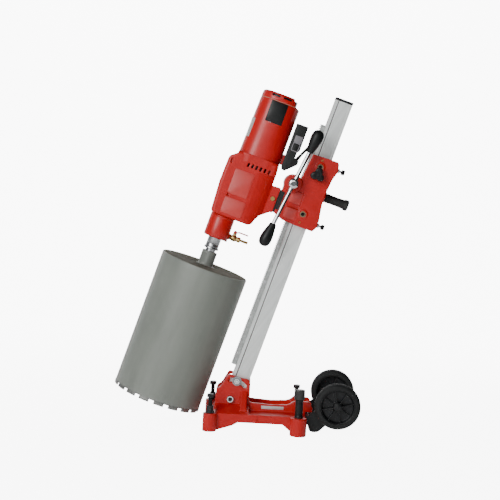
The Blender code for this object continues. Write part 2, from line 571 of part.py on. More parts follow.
def make_feed(mast):
    """The pinion on its shaft, the hub, the rod through it and the two knobs."""
    axis = empty("feed_axis", (FEED_X, 0.0, FEED_Z), mast)
    pinion = piece("feed_pinion", prism([gear_outline(PINION_TEETH, MODULE, 0.0002)],
                                        -0.0120, 0.0120), "steel", axis)
    add(pinion, rod(0.0100, -0.0830, 0.0390, "Y", sides=14))

    hub = turned("feed_hub", [
        (0.0, -0.0835), (0.0120, -0.0835), (0.0150, -0.0880), (0.0175, -0.0970),
        (0.0175, -0.1130), (0.0140, -0.1180), (0.0080, -0.1190), (0.0, -0.1190)],
        "chrome", axis, "Y", steps=12)
    lean = (math.sin(LEVER_LEAN), 0.0, math.cos(LEVER_LEAN))
    lever = empty("feed_lever_frame", (0.0, LEVER_Y, 0.0), axis, (0.0, LEVER_LEAN, 0.0))
    hole = rod(ROD_RADIUS + GAP, -0.1, 0.1, "Z", sides=16)
    hole.transform(Matrix.Translation((0.0, LEVER_Y, 0.0)) @ along(lean, (0.0, 0.0, 0.0)))
    cut(hub, hole)
    rod_up, rod_down = LEVER_UP - KNOB_LENGTH - GAP, LEVER_DOWN - KNOB_LENGTH - GAP
    bar = piece("feed_lever_rod", rod(ROD_RADIUS, -rod_down, rod_up, "Z", sides=16),
                "chrome", lever)
    smooth(bar)
    shape = [(0.0, 1.0), (0.40, 0.985), (0.72, 0.93), (0.93, 0.84), (1.0, 0.70), (0.95, 0.52),
             (0.80, 0.30), (0.60, 0.10), (0.52, 0.0), (0.0, 0.0)]
    for name, turn, start in (("upper", 1, rod_up), ("lower", -1, rod_down)):
        profile = [(r * KNOB_RADIUS, start + GAP + h * KNOB_LENGTH) for r, h in shape]
        knob = turned(f"feed_knob_{name}", profile, "black_plastic", lever, (0, 0, turn), steps=16)
        smooth(knob)


def make_clamps(mast):
    """The star knob that locks the carriage, and the two screws behind the guide pads."""
    axis = empty("lock_knob_axis", (MAST_MIDDLE, 0.0, LOCK_KNOB_Z), mast)
    lobes = []
    for k in range(3):
        a = math.radians(90 + 120 * k)
        lobes += arc((0.0120 * math.cos(a), 0.0120 * math.sin(a)), 0.0110,
                     math.degrees(a) - 75, math.degrees(a) + 75, 4)
        b = a + math.radians(60)
        lobes.append((0.0085 * math.cos(b), 0.0085 * math.sin(b)))
    knob = piece("carriage_lock_knob", prism([lobes], -0.0920, -0.0700), "black_plastic", axis)
    bevel(knob, 0.0025)
    add(knob, rod(0.0090, -0.0705, -0.0610, "Y", sides=16))
    add(knob, rod(0.0050, -0.0620, -MAST_HALF - GAP, "Y", sides=12))

    for name, z in zip(("upper", "lower"), CLAMP_Z):
        frame = empty(f"clamp_axis_{name}", (0.0, 0.0, z), mast)
        screw = turned(f"clamp_screw_{name}", [
            (0.0, 0.0970), (0.0070, 0.0970), (0.0085, 0.0950), (0.0085, 0.0870),
            (0.0065, 0.0840), (0.0040, 0.0840), (0.0040, MAST_BACK + PAD_THICK + GAP),
            (0.0, MAST_BACK + PAD_THICK + GAP)], "black_plastic", frame, "X", steps=12)
        smooth(screw)


# --- The drill motor --------------------------------------------------------------------------
def motor_outline(inset):
    """The rounded square of the motor's section, in plan."""
    corners = oblong(MOTOR_HALF - inset, MOTOR_HALF_Y - inset, (MOTOR_X, 0.0))
    return rounded(corners, MOTOR_CORNER - inset, 4)


def make_motor(mast):
    """The housing, its end cap and brush covers, and the stator inside."""
    wall = motor_outline(MOTOR_WALL)
    housing = piece("motor_housing", prism([motor_outline(0.0), wall], MOTOR_LOW, CAP_LOW, "plan"),
                    "red_paint", mast)
    cover_z, cover_half = 0.9555, 0.0285
    window = [oblong(0.0280 + GAP, cover_half + GAP, (MOTOR_X + 0.0025, cover_z))]
    cut(housing, both_sides(window, MOTOR_HALF_Y - 0.0020, MOTOR_HALF_Y + 0.01))

    cap = piece("motor_end_cap", prism([motor_outline(0.0005)], CAP_LOW + GAP, MOTOR_TOP, "plan"),
                "red_paint", mast)
    cut(cap, prism([wall], CAP_LOW - 0.01, MOTOR_TOP - 0.0050, "plan"))
    step = [(MOTOR_X + 0.0560, 0.9960), (MOTOR_X + 0.0800, 0.9890), (MOTOR_X + 0.0800, 1.03),
            (MOTOR_X + 0.0425, 1.03), (MOTOR_X + 0.0425, MOTOR_TOP)]
    cut(cap, prism([step], -0.1, 0.1))
    slots = [oblong(0.0150, 0.0035, (x, 1.0050)) for x in (-0.2090, -0.1700)]
    cut(cap, joined(*(both_sides([slot], 0.0500, 0.0800) for slot in slots)))

    depth = (MOTOR_HALF_Y - 0.0017, MOTOR_HALF_Y + 0.0010)
    for name, (low, high) in (("near", (-depth[1], -depth[0])), ("far", depth)):
        piece(f"brush_cover_{name}", block((MOTOR_X - 0.0255, low, cover_z - cover_half),
                                           (MOTOR_X + 0.0305, high, cover_z + cover_half)),
              "black_plastic", mast)
    turned("stator", [(0.0610, 0.9220), (0.0610, 0.8280), (0.0400, 0.8280), (0.0400, 0.9220)],
           "steel", mast, place=(MOTOR_X, 0.0, 0.0), steps=20, closed=True)


def make_gearbox(mast):
    """The gear case with its mounting arm, the nose below it and the way it bolts on."""
    outer = [(-0.2635, 0.7980), (-0.2880, 0.7700), (-0.2900, 0.6800), (-0.2830, GEAR_CASE_FLOOR),
             (-0.1470, GEAR_CASE_FLOOR), (-0.1280, 0.6080), (-0.1180, 0.6300), (-0.1180, 0.7600),
             (-0.1205, 0.7980)]
    case = piece("gearbox_housing", prism([outer], -GEARBOX_HALF, GEARBOX_HALF), "red_paint", mast)
    bevel(case, 0.0100, 2)
    add(case, prism([motor_outline(0.0)], 0.7680, MOTOR_LOW - GAP, "plan"))
    arm = [(-0.1300, 0.7240), (-0.0880, 0.7265), (-0.0880, 0.6390), (-0.0960, 0.6385),
           (-0.1300, 0.6100)]
    add(case, prism([arm], -ARM_HALF, ARM_HALF))
    inner = [(-0.2480, 0.81), (-0.2800, 0.7670), (-0.2820, 0.6800), (-0.2760, 0.5820),
             (-0.1530, 0.5820), (-0.1370, 0.6120), (-0.1270, 0.6350), (-0.1270, 0.81)]
    cut(case, prism([inner], -0.0570, 0.0570))
    cut(case, rod(0.0300, 0.56, 0.60, "Z", (SPINDLE_X, 0.0), 24))
    bolt_at = (-0.1020, 0.6845)
    cut(case, rod(0.0050 + GAP, -0.05, 0.05, "Y", bolt_at, 12))
    head = ARM_HALF + GAP
    turned("motor_mount_bolt", [
        (0.0, head + 0.0040), (0.0075, head + 0.0040), (0.0080, head + 0.0030), (0.0080, head),
        (0.0050, head), (0.0050, -head), (0.0080, -head), (0.0080, -head - 0.0030),
        (0.0075, -head - 0.0040), (0.0, -head - 0.0040)],
        "brass", mast, "Y", (bolt_at[0], 0.0, bolt_at[1]), 12)
    piece("motor_mount_plate", block((-0.0880 + GAP, -0.0360, 0.6425),
                                     (CARRIAGE_FRONT - GAP, 0.0360, 0.7215)),
          "black_steel", mast)

    nose = turned("spindle_nose", [
        (NOSE_RADIUS, NOSE_TOP), (NOSE_RADIUS, NOSE_LOW + 0.0040),
        (NOSE_RADIUS - 0.0040, NOSE_LOW), (0.0260, NOSE_LOW), (0.0260, 0.5100), (0.0300, 0.5100),
        (0.0300, NOSE_TOP)], "red_paint", mast, place=(SPINDLE_X, 0.0, 0.0), steps=24, closed=True)
    smooth(nose)
    cut(nose, rod(0.0070 + GAP, SPINDLE_X + 0.03, SPINDLE_X + 0.06, "X", (0.0, VALVE_Z), 14))
    turned("spindle_bearing", [(0.0297, 0.5500), (0.0297, 0.5340), (0.0147, 0.5340),
                               (0.0147, 0.5500)],
           "steel", mast, place=(SPINDLE_X, 0.0, 0.0), steps=14, closed=True)


def make_gear_train(mast):
    """The armature, the idler shaft and the hollow spindle. Gears are drawn as plain discs."""
    armature = empty("armature_axis", (MOTOR_X, 0.0, 0.0), mast)
    turned("armature", [
        (0.0, 1.0080), (0.0060, 1.0080), (0.0060, 0.9750), (0.0220, 0.9750), (0.0220, 0.9450),
        (0.0080, 0.9450), (0.0080, 0.9250), (0.0380, 0.9250), (0.0380, 0.8250), (0.0080, 0.8250),
        (0.0080, 0.8120), (0.0550, 0.8120), (0.0550, 0.8020), (0.0070, 0.8020), (0.0066, 0.6900),
        (0.0, 0.6900)], "copper", armature, steps=14)
    idler = empty("idler_axis", (IDLER_X, IDLER_Y, 0.0), mast)
    turned("idler_gear_shaft", [
        (0.0, 0.7300), (0.0060, 0.7300), (0.0060, 0.7100), (0.0246, 0.7100), (0.0246, 0.6920),
        (0.0080, 0.6920), (0.0080, 0.6200), (0.0116, 0.6200), (0.0116, 0.6020), (0.0060, 0.6020),
        (0.0060, 0.5900), (0.0, 0.5900)], "steel", idler, steps=14)

    spindle = empty("spindle_axis", (SPINDLE_X, 0.0, 0.0), mast)
    bore = 0.0050
    smooth(turned("drill_spindle", [
        (bore, 0.6650), (0.0100, 0.6650), (0.0100, 0.6200), (0.0375, 0.6200), (0.0375, 0.6020),
        (0.0140, 0.6020), (0.0140, 0.5050), (0.0225, 0.5050), (0.0225, 0.4590), (0.0250, 0.4590),
        (0.0250, 0.4520), (0.0170, 0.4520), (0.0170, HUB_TOP + GAP), (bore, HUB_TOP + GAP)],
        "chrome", spindle, steps=18, closed=True))
    tube_end = BIT_END + SEGMENT_HEIGHT + GAP
    barrel = turned("core_bit_barrel", [
        (bore, HUB_TOP), (HUB_RADIUS, HUB_TOP), (HUB_RADIUS, BIT_TOP + 0.0030),
        (HUB_RADIUS + 0.0030, BIT_TOP), (BIT_RADIUS - 0.0010, BIT_TOP),
        (BIT_RADIUS, BIT_TOP - 0.0010), (BIT_RADIUS, tube_end), (BIT_RADIUS - BIT_WALL, tube_end),
        (BIT_RADIUS - BIT_WALL, BIT_TOP - 0.0080), (bore, BIT_TOP - 0.0080)],
        "grey_paint", spindle, steps=40, closed=True)
    smooth(barrel)
    flats = [block((side * 0.0225 if side > 0 else -0.04, -0.04, 0.4050),
                   (0.04 if side > 0 else side * 0.0225, 0.04, 0.4330)) for side in (-1, 1)]
    cut(barrel, joined(*flats))
    crown = turned("core_bit_segments", [
        (BIT_RADIUS + 0.0010, BIT_END + SEGMENT_HEIGHT), (BIT_RADIUS + 0.0010, BIT_END),
        (BIT_RADIUS - BIT_WALL - 0.0010, BIT_END),
        (BIT_RADIUS - BIT_WALL - 0.0010, BIT_END + SEGMENT_HEIGHT)],
        "segment", spindle, steps=44, closed=True)
    notches = []
    for i in range(SEGMENTS):
        notch = block((BIT_RADIUS - 0.0200, -SEGMENT_GAP / 2, BIT_END - 0.01),
                      (BIT_RADIUS + 0.0200, SEGMENT_GAP / 2, BIT_END + SEGMENT_HEIGHT - 0.0020))
        notch.transform(Matrix.Rotation(2 * math.pi * (i + 0.315) / SEGMENTS, 4, "Z"))
        notches.append(notch)
    cut(crown, joined(*notches))


def make_valve(mast):
    """The brass ball valve that lets water into the nose, and its lever."""
    start = SPINDLE_X + NOSE_RADIUS - 0.0050
    body = turned("water_valve", [
        (0.0, -0.1275), (0.0045, -0.1275), (0.0055, -0.1310), (0.0045, -0.1350),
        (0.0055, -0.1385), (0.0045, -0.1425), (0.0045, -0.1560), (0.0090, -0.1560),
        (0.0090, -0.1640), (0.0075, -0.1660),
        (0.0105, -0.1720), (0.0110, VALVE_BALL_X), (0.0105, -0.1860), (0.0080, -0.1900),
        (0.0095, -0.1910), (0.0095, SPINDLE_X + NOSE_RADIUS + GAP),
        (0.0068, SPINDLE_X + NOSE_RADIUS + GAP), (0.0068, start), (0.0, start)],
        "brass", mast, "X", (0.0, 0.0, VALVE_Z), 12)
    add(body, rod(0.0050, VALVE_Z, VALVE_Z + 0.0165, "Z", (VALVE_BALL_X, 0.0), 12))

    axis = empty("valve_axis", (VALVE_BALL_X, 0.0, VALVE_Z), mast)
    foot = 0.0165 + GAP
    lever = piece("water_valve_lever", rod(0.0060, foot, foot + 0.0055, "Z", sides=14),
                  "red_paint", axis)
    bent = [(-0.0040, foot + 0.0030), (0.0090, foot + 0.0030), (0.0120, foot + 0.0050),
            (0.0450, foot + 0.0050), (0.0450, foot + 0.0085), (0.0110, foot + 0.0085),
            (0.0080, foot + 0.0070), (-0.0040, foot + 0.0070)]
    add(lever, prism([bent], -0.0055, 0.0055))


def make_controls(mast):
    """The control box behind the motor, its bracket and its rocker switch."""
    outline = [(BOX_FRONT, 0.9490), (BOX_FRONT, 0.7970), (-0.1080, 0.7870), (-0.0980, 0.7850),
               (-0.0790, 0.8030), (-0.0640, 0.8180), (-0.0640, 0.8304), (-0.0790, 0.8366),
               (-0.0790, 0.8560), (BOX_BACK, 0.8640), (BOX_BACK, 0.9490)]
    box = piece("control_box", prism([outline], -BOX_HALF, BOX_HALF), "black_plastic", mast)
    bevel(box, 0.0020)
    cut(box, block((SWITCH_X - 0.0105, -BOX_HALF - 0.01, SWITCH_Z - 0.0135),
                   (SWITCH_X + 0.0105, -BOX_HALF + 0.0110, SWITCH_Z + 0.0135)))
    piece("control_box_bracket", block((MOTOR_X + MOTOR_HALF + GAP, -0.0200, 0.8000),
                                       (BOX_FRONT - GAP, 0.0200, 0.8360)), "red_paint", mast)

    axis = empty("switch_axis", (SWITCH_X, -BOX_HALF + 0.0030, SWITCH_Z), mast)
    paddle = [(-0.0035, -0.0115), (0.0040, -0.0115), (0.0020, 0.0), (0.0060, 0.0115),
              (-0.0035, 0.0115)]
    rocker = prism([[(-y, z) for y, z in paddle]], -0.0092, 0.0092, "front")
    piece("power_switch", rocker, "black_plastic", axis)


# --- The mains cord ---------------------------------------------------------------------------
def smooth_line(points, spacing):
    """Points read every so often from a Catmull-Rom curve through the given ones."""
    knots = [Vector(p) for p in points]
    knots = [2 * knots[0] - knots[1], *knots, 2 * knots[-1] - knots[-2]]
    fine = []
    for a, b, c, d in zip(knots, knots[1:], knots[2:], knots[3:]):
        for k in range(12):
            t = k / 12
            fine.append(0.5 * (2 * b + (c - a) * t + (2 * a - 5 * b + 4 * c - d) * t**2
                               + (3 * b - a - 3 * c + d) * t**3))
    fine.append(knots[-2])
    line, walked = [fine[0]], 0.0
    for before, after in zip(fine, fine[1:]):
        walked += (after - before).length
        if walked >= spacing:
            line.append(after)
            walked = 0.0
    if (line[-1] - fine[-1]).length < spacing / 2:
        line.pop()
    return [*line, fine[-1]]


def cord(name, points, frame):
    """A round cord along points, as a curve with a bevel."""
    curve = bpy.data.curves.new(name, "CURVE")
    curve.dimensions, curve.bevel_depth, curve.bevel_resolution = "3D", CORD_RADIUS, 2
    curve.use_fill_caps = True
    spline = curve.splines.new("POLY")
    spline.points.add(len(points) - 1)
    for point, place in zip(spline.points, points):
        point.co = (*place, 1.0)
    curve.materials.append(finish("black_rubber"))
    thing = bpy.data.objects.new(name, curve)
    thing.parent = frame
    parts.objects.link(thing)


def make_cord(mast):
    """The mains lead: its relief, the run to the coil on its hook, the tail and the plug."""
    relief = [(0.0, RELIEF_LENGTH), (0.0048, RELIEF_LENGTH), (0.0064, 0.0030),
              (0.0068, 2 * GAP), (0.0, 2 * GAP)]
    smooth(turned("cord_relief", relief, "black_rubber", mast, CORD_LEAVES, CORD_SOCKET, 14))
    cord("mains_cord_lead", smooth_line(CORD_ROUTE, 0.0120), mast)

    half = COIL_TURNS_WIDE * CORD_RADIUS
    inner, outer = COIL_RADIUS - half, COIL_RADIUS + half
    ring = [(outer - 0.0030, half), (outer, half - 0.0030), (outer, 0.0030 - half),
            (outer - 0.0030, -half), (inner + 0.0030, -half), (inner, 0.0030 - half),
            (inner, half - 0.0030), (inner + 0.0030, half)]
    smooth(turned("mains_cord_coil", ring, "black_rubber", mast, "Y", COIL_CENTRE, 28, True))

    up = Vector((-math.sin(TILT), 0.0, math.cos(TILT)))  # the world's up, in the mast frame
    back = Vector((math.cos(TILT), 0.0, math.sin(TILT)))
    centre = Vector(COIL_CENTRE)
    peg = centre + up * (inner - 0.0040 - GAP)
    hook = piece("cord_hook", rod(0.0040, FACE_HALF + GAP, 0.0990, "Y", (peg.x, peg.z), 12),
                 "steel", mast)
    lip = rod(0.0040, -0.0030, 0.0180, "Z", sides=12)
    lip.transform(along(tuple(up), (peg.x, 0.0955, peg.z)))
    add(hook, lip)
    add(hook, rod(0.0090, FACE_HALF + GAP, FACE_HALF + 0.0013, "Y", (peg.x, peg.z), 12))

    rest = centre.y + half + CORD_RADIUS + 2 * GAP  # lying on the coil's outer face
    hold = rest + 0.0145
    turns = 6
    tail = []
    for i in range(turns + 1):
        a = math.radians(55) * (1 - i / turns)
        ease = (1 - math.cos(math.pi * i / turns)) / 2
        spot = centre + (back * math.cos(a) + up * math.sin(a)) * COIL_RADIUS
        tail.append((spot.x, rest + (hold - rest) * ease, spot.z))
    cord("mains_cord_tail", tail, mast)
    plug = turned("mains_plug", [
        (0.0, 0.0), (0.0060, 0.0), (0.0075, -0.0120), (0.0150, -0.0190), (0.0175, -0.0240),
        (0.0175, -0.0420), (0.0160, -0.0440), (0.0, -0.0440)], "black_rubber", mast, tuple(up),
        Vector(tail[-1]) - up * 4 * GAP, 16)
    smooth(plug)


# --- The whole rig ------------------------------------------------------------------------
def main():
    for thing in list(bpy.data.objects):
        bpy.data.objects.remove(thing)
    bpy.context.scene.collection.children.link(parts)
    bpy.context.scene.collection.children.link(tools)
    rig = empty("rig_frame", (CENTRE_X, 0.0, 0.0))
    make_base(rig)
    make_wheels(rig)
    make_levelling(rig)
    mast = empty("mast_frame", (PIVOT_X, 0.0, PIVOT_Z), rig, (0.0, TILT, 0.0))
    make_mast(mast)
    make_carriage(mast)
    make_feed(mast)
    make_clamps(mast)
    make_motor(mast)
    make_gearbox(mast)
    make_gear_train(mast)
    make_valve(mast)
    make_controls(mast)
    make_cord(mast)
    bpy.context.view_layer.update()


main()
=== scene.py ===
"""The looks of the core drill rig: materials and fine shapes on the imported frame.

Two frames are used, both in metres. RIG is the floor frame, with the rig's middle plane at Y = 0.
MAST sits on the tilt pivot, with Z up along the mast and X square to it, towards the wheels.
"""

from math import atan2, copysign, cos, pi, radians, sin, sqrt

import bmesh
import bpy
from mathutils import Matrix, Vector
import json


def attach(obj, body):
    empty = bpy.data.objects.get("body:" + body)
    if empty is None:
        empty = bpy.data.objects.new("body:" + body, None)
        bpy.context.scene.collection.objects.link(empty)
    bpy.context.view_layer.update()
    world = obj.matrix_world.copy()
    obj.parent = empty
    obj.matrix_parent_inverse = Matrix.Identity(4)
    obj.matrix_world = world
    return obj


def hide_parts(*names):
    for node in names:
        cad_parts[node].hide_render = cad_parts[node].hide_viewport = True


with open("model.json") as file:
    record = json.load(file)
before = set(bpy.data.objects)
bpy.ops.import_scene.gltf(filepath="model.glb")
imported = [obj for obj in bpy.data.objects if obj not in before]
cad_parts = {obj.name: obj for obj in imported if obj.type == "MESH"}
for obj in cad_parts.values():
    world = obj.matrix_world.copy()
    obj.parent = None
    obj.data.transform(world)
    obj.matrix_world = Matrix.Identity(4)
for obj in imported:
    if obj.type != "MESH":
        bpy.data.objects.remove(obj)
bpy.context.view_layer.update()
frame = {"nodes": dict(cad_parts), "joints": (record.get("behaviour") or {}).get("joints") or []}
joints = {joint["name"]: joint for joint in frame["joints"]}

CENTRE_X = 0.0226
RIG = Matrix.Translation((CENTRE_X, 0.0, 0.0))
MAST_UP = Vector(joints["carriage_feed"]["axis"])
MAST_ACROSS = Vector((MAST_UP.z, 0.0, -MAST_UP.x))
MAST = Matrix.Translation(joints["mast_tilt"]["pos_m"]) @ Matrix(
    (MAST_ACROSS, (0.0, 1.0, 0.0), MAST_UP)).transposed().to_4x4()
TILT = atan2(MAST_UP.x, MAST_UP.z)

# Places in MAST: the armature's, the motor's and the spindle's middle, the grip and the lever.
ARMATURE_X, MOTOR_X, SPINDLE_X = -0.1915, -0.1905, -0.238
GRIP_Z = 0.7485
LEVER = (-0.056, 0.0, 0.756)
# The power of the motor's rounded outline, which would be 2 for an ellipse.
SQUARENESS = 2.35
SIDES = ((-1, "near"), (1, "far"))


def linked(name, data):
    """A new object in the scene."""
    thing = bpy.data.objects.new(name, data)
    bpy.context.scene.collection.objects.link(thing)
    return thing


# --- Camera, floor and lights ---
def add_camera():
    """The photograph's view: level with the carriage, far back, rolled by three degrees."""
    data = bpy.data.cameras.new("camera")
    data.lens, data.sensor_width = 86.4, 36.0
    data.clip_end = 100.0
    camera = linked("camera", data)
    camera.matrix_world = (Matrix.Translation((CENTRE_X, -4.063, 0.8845))
                           @ Matrix.Rotation(radians(86), 4, "X")
                           @ Matrix.Rotation(radians(3), 4, "Z"))
    bpy.context.scene.camera = camera


def add_light(name, place, target, size, power):
    """A rectangular lamp at a place, turned to its target."""
    data = bpy.data.lights.new(name, "AREA")
    data.shape, data.size, data.size_y = "RECTANGLE", size[0], size[1]
    data.energy = power
    light = linked(name, data)
    light.location = place
    light.rotation_euler = (Vector(target) - Vector(place)).to_track_quat("-Z", "Y").to_euler()


def add_flag(name, corners, look):
    """A dark card that the camera doesn't see, to keep light off one side of the rig."""
    mesh = bpy.data.meshes.new(name)
    mesh.from_pydata(corners, [], [(0, 1, 2, 3)])
    mesh.materials.append(look)
    card = linked(name, mesh)
    card.visible_camera = False


def add_studio():
    """A pale sweep of floor and backdrop, and soft light from the upper left.

    The floor shines white to the camera alone, so that it lights the rig only a little.
    """
    far_edge, bend, glow, seen_glow = 2.2, 1.6, 0.28, 8.0
    profile = [(-6.0, 0.0), (far_edge, 0.0)]
    profile += [(far_edge + bend * sin(radians(a)), bend - bend * cos(radians(a)))
                for a in range(6, 91, 6)]
    profile += [(far_edge + bend, 7.0)]
    bm = bmesh.new()
    rows = [[bm.verts.new((x, y, z)) for y, z in profile] for x in (-9.0, 9.0)]
    for a, b, c, d in zip(rows[0], rows[0][1:], rows[1][1:], rows[1]):
        bm.faces.new((a, d, c, b)).smooth = True
    mesh = bpy.data.meshes.new("floor")
    bm.to_mesh(mesh)
    bm.free()
    white = surface("studio_white", (0.93, 0.93, 0.93), 0.7, vary=0.01, bump=0.0, glow=glow)
    nodes, links = white.node_tree.nodes, white.node_tree.links
    seen, amount = nodes.new("ShaderNodeLightPath"), nodes.new("ShaderNodeMath")
    amount.operation = "MULTIPLY_ADD"
    amount.inputs[1].default_value, amount.inputs[2].default_value = seen_glow, glow
    links.new(seen.outputs["Is Camera Ray"], amount.inputs[0])
    links.new(amount.outputs[0], nodes["Principled BSDF"].inputs["Emission Strength"])
    mesh.materials.append(white)
    linked("floor", mesh)
    black = surface("studio_black", (0.01, 0.01, 0.01), 0.9, vary=0.0, bump=0.0)
    add_flag("flag_right", [(1.3, -3.4, 0.1), (1.3, 1.2, 0.1), (1.3, 1.2, 2.4), (1.3, -3.4, 2.4)],
             black)
    add_flag("flag_top", [(-0.1, -1.0, 1.85), (1.3, -1.0, 1.85), (1.3, 1.3, 1.85),
                          (-0.1, 1.3, 1.85)], black)
    add_light("key", (-2.0, -3.3, 2.2), (0.0, 0.0, 0.55), (1.5, 2.4), 112)
    add_light("front", (-0.6, -4.6, 1.9), (0.0, 0.0, 0.5), (2.4, 1.2), 22)
    add_light("side", (3.0, -1.2, 1.4), (0.0, 0.0, 0.5), (0.7, 2.0), 3)
    add_light("top", (-0.3, 0.8, 3.6), (0.0, 0.6, 0.0), (3.0, 2.4), 2)
    add_light("backdrop", (0.0, 1.6, 2.8), (0.0, 4.4, 1.0), (5.0, 1.4), 170)
    world = bpy.data.worlds.new("studio")
    world.use_nodes = True
    world.node_tree.nodes["Background"].inputs["Color"].default_value = (0.94, 0.97, 1.0, 1.0)
    world.node_tree.nodes["Background"].inputs["Strength"].default_value = 0.17
    bpy.context.scene.world = world


# --- Materials ---
def socket(sockets, label):
    """A node's input or output, by its name or its identifier."""
    return next(s for s in sockets if label in (s.name, s.identifier))


def surface(name, colour, rough, metal=0.0, coat=0.0, vary=0.08, blotch=14.0, grain=700.0,
            bump=0.15, depth=0.0002, rough_vary=0.08, stretch=(1.0, 1.0, 1.0), turn=0.0, edge=0.0,
            dark=0.0, glow=0.0, shine=0.5):
    """A material whose colour, roughness and relief vary by noise in the piece's own space.

    stretch is how far the pattern is drawn out along each axis, after a turn about Y. edge is how
    much the sharp edges are painted lighter, partly as rubbed wear and partly as painted highlight;
    dark is how much painted shade darkens the hollows, and shine how strongly it reflects.
    """
    material = bpy.data.materials.new(name)
    material.use_nodes = True
    tree = material.node_tree
    shader = tree.nodes["Principled BSDF"]
    for key, value in (("Metallic", metal), ("Coat Weight", coat), ("Coat Roughness", 0.2),
                       ("Specular IOR Level", shine), ("Emission Color", (*colour, 1.0)),
                       ("Emission Strength", glow)):
        shader.inputs[key].default_value = value

    def node(kind, **inputs):
        made = tree.nodes.new(kind)
        for key, value in inputs.items():
            made.inputs[key].default_value = value
        return made

    place = node("ShaderNodeMapping", Rotation=(0.0, turn, 0.0), Scale=stretch)
    place.vector_type = "TEXTURE"
    tree.links.new(node("ShaderNodeTexCoord").outputs["Object"], place.inputs["Vector"])

    def noise(scale, detail):
        made = node("ShaderNodeTexNoise", Scale=scale, Detail=detail, Roughness=0.6)
        tree.links.new(place.outputs["Vector"], made.inputs["Vector"])
        return made.outputs["Fac"]

    def ramp(source, low, high, first, last):
        made = node("ShaderNodeMapRange")
        if isinstance(first, tuple):
            made.data_type, label, where, out = "FLOAT_VECTOR", "{}_{}_FLOAT3", "Vector", "Vector"
            low, high = (low,) * 3, (high,) * 3
        else:
            made.data_type, label, where, out = "FLOAT", "{} {}", "Value", "Result"
        for side, values in (("From", (low, high)), ("To", (first, last))):
            for end, value in zip(("Min", "Max"), values):
                socket(made.inputs, label.format(side, end)).default_value = value
        tree.links.new(source, made.inputs[where])
        return made.outputs[out]

    coarse, fine = noise(blotch, 4.0), noise(grain, 3.0)
    shades = [tuple(min(1.0, max(0.0, c * (1 + k * vary))) for c in colour) for k in (-1, 1)]
    tint = ramp(coarse, 0.35, 0.65, *shades)
    # Painted light from the surface's bend: sharp edges are painted lighter, partly wear and partly
    # painted highlight, and hollows get painted shade.
    if edge or dark:
        bend = node("ShaderNodeNewGeometry").outputs["Pointiness"]
        for amount, low, high, to in ((edge, 0.52, 0.6, [min(1, c * 0.6 + 0.38) for c in colour]),
                                      (dark, 0.49, 0.42, [c * 0.35 for c in colour])):
            mix = node("ShaderNodeMix")
            mix.data_type = "RGBA"
            tree.links.new(ramp(bend, low, high, 0.0, amount), mix.inputs["Factor"])
            tree.links.new(tint, socket(mix.inputs, "A_Color"))
            socket(mix.inputs, "B_Color").default_value = (*to, 1.0)
            tint = socket(mix.outputs, "Result_Color")
    tree.links.new(tint, shader.inputs["Base Color"])
    gloss = ramp(coarse, 0.3, 0.7, max(0.03, rough - rough_vary), rough + rough_vary)
    tree.links.new(gloss, shader.inputs["Roughness"])
    if bump:
        relief = node("ShaderNodeBump", Strength=bump, Distance=depth)
        tree.links.new(fine, relief.inputs["Height"])
        tree.links.new(relief.outputs["Normal"], shader.inputs["Normal"])
    return material


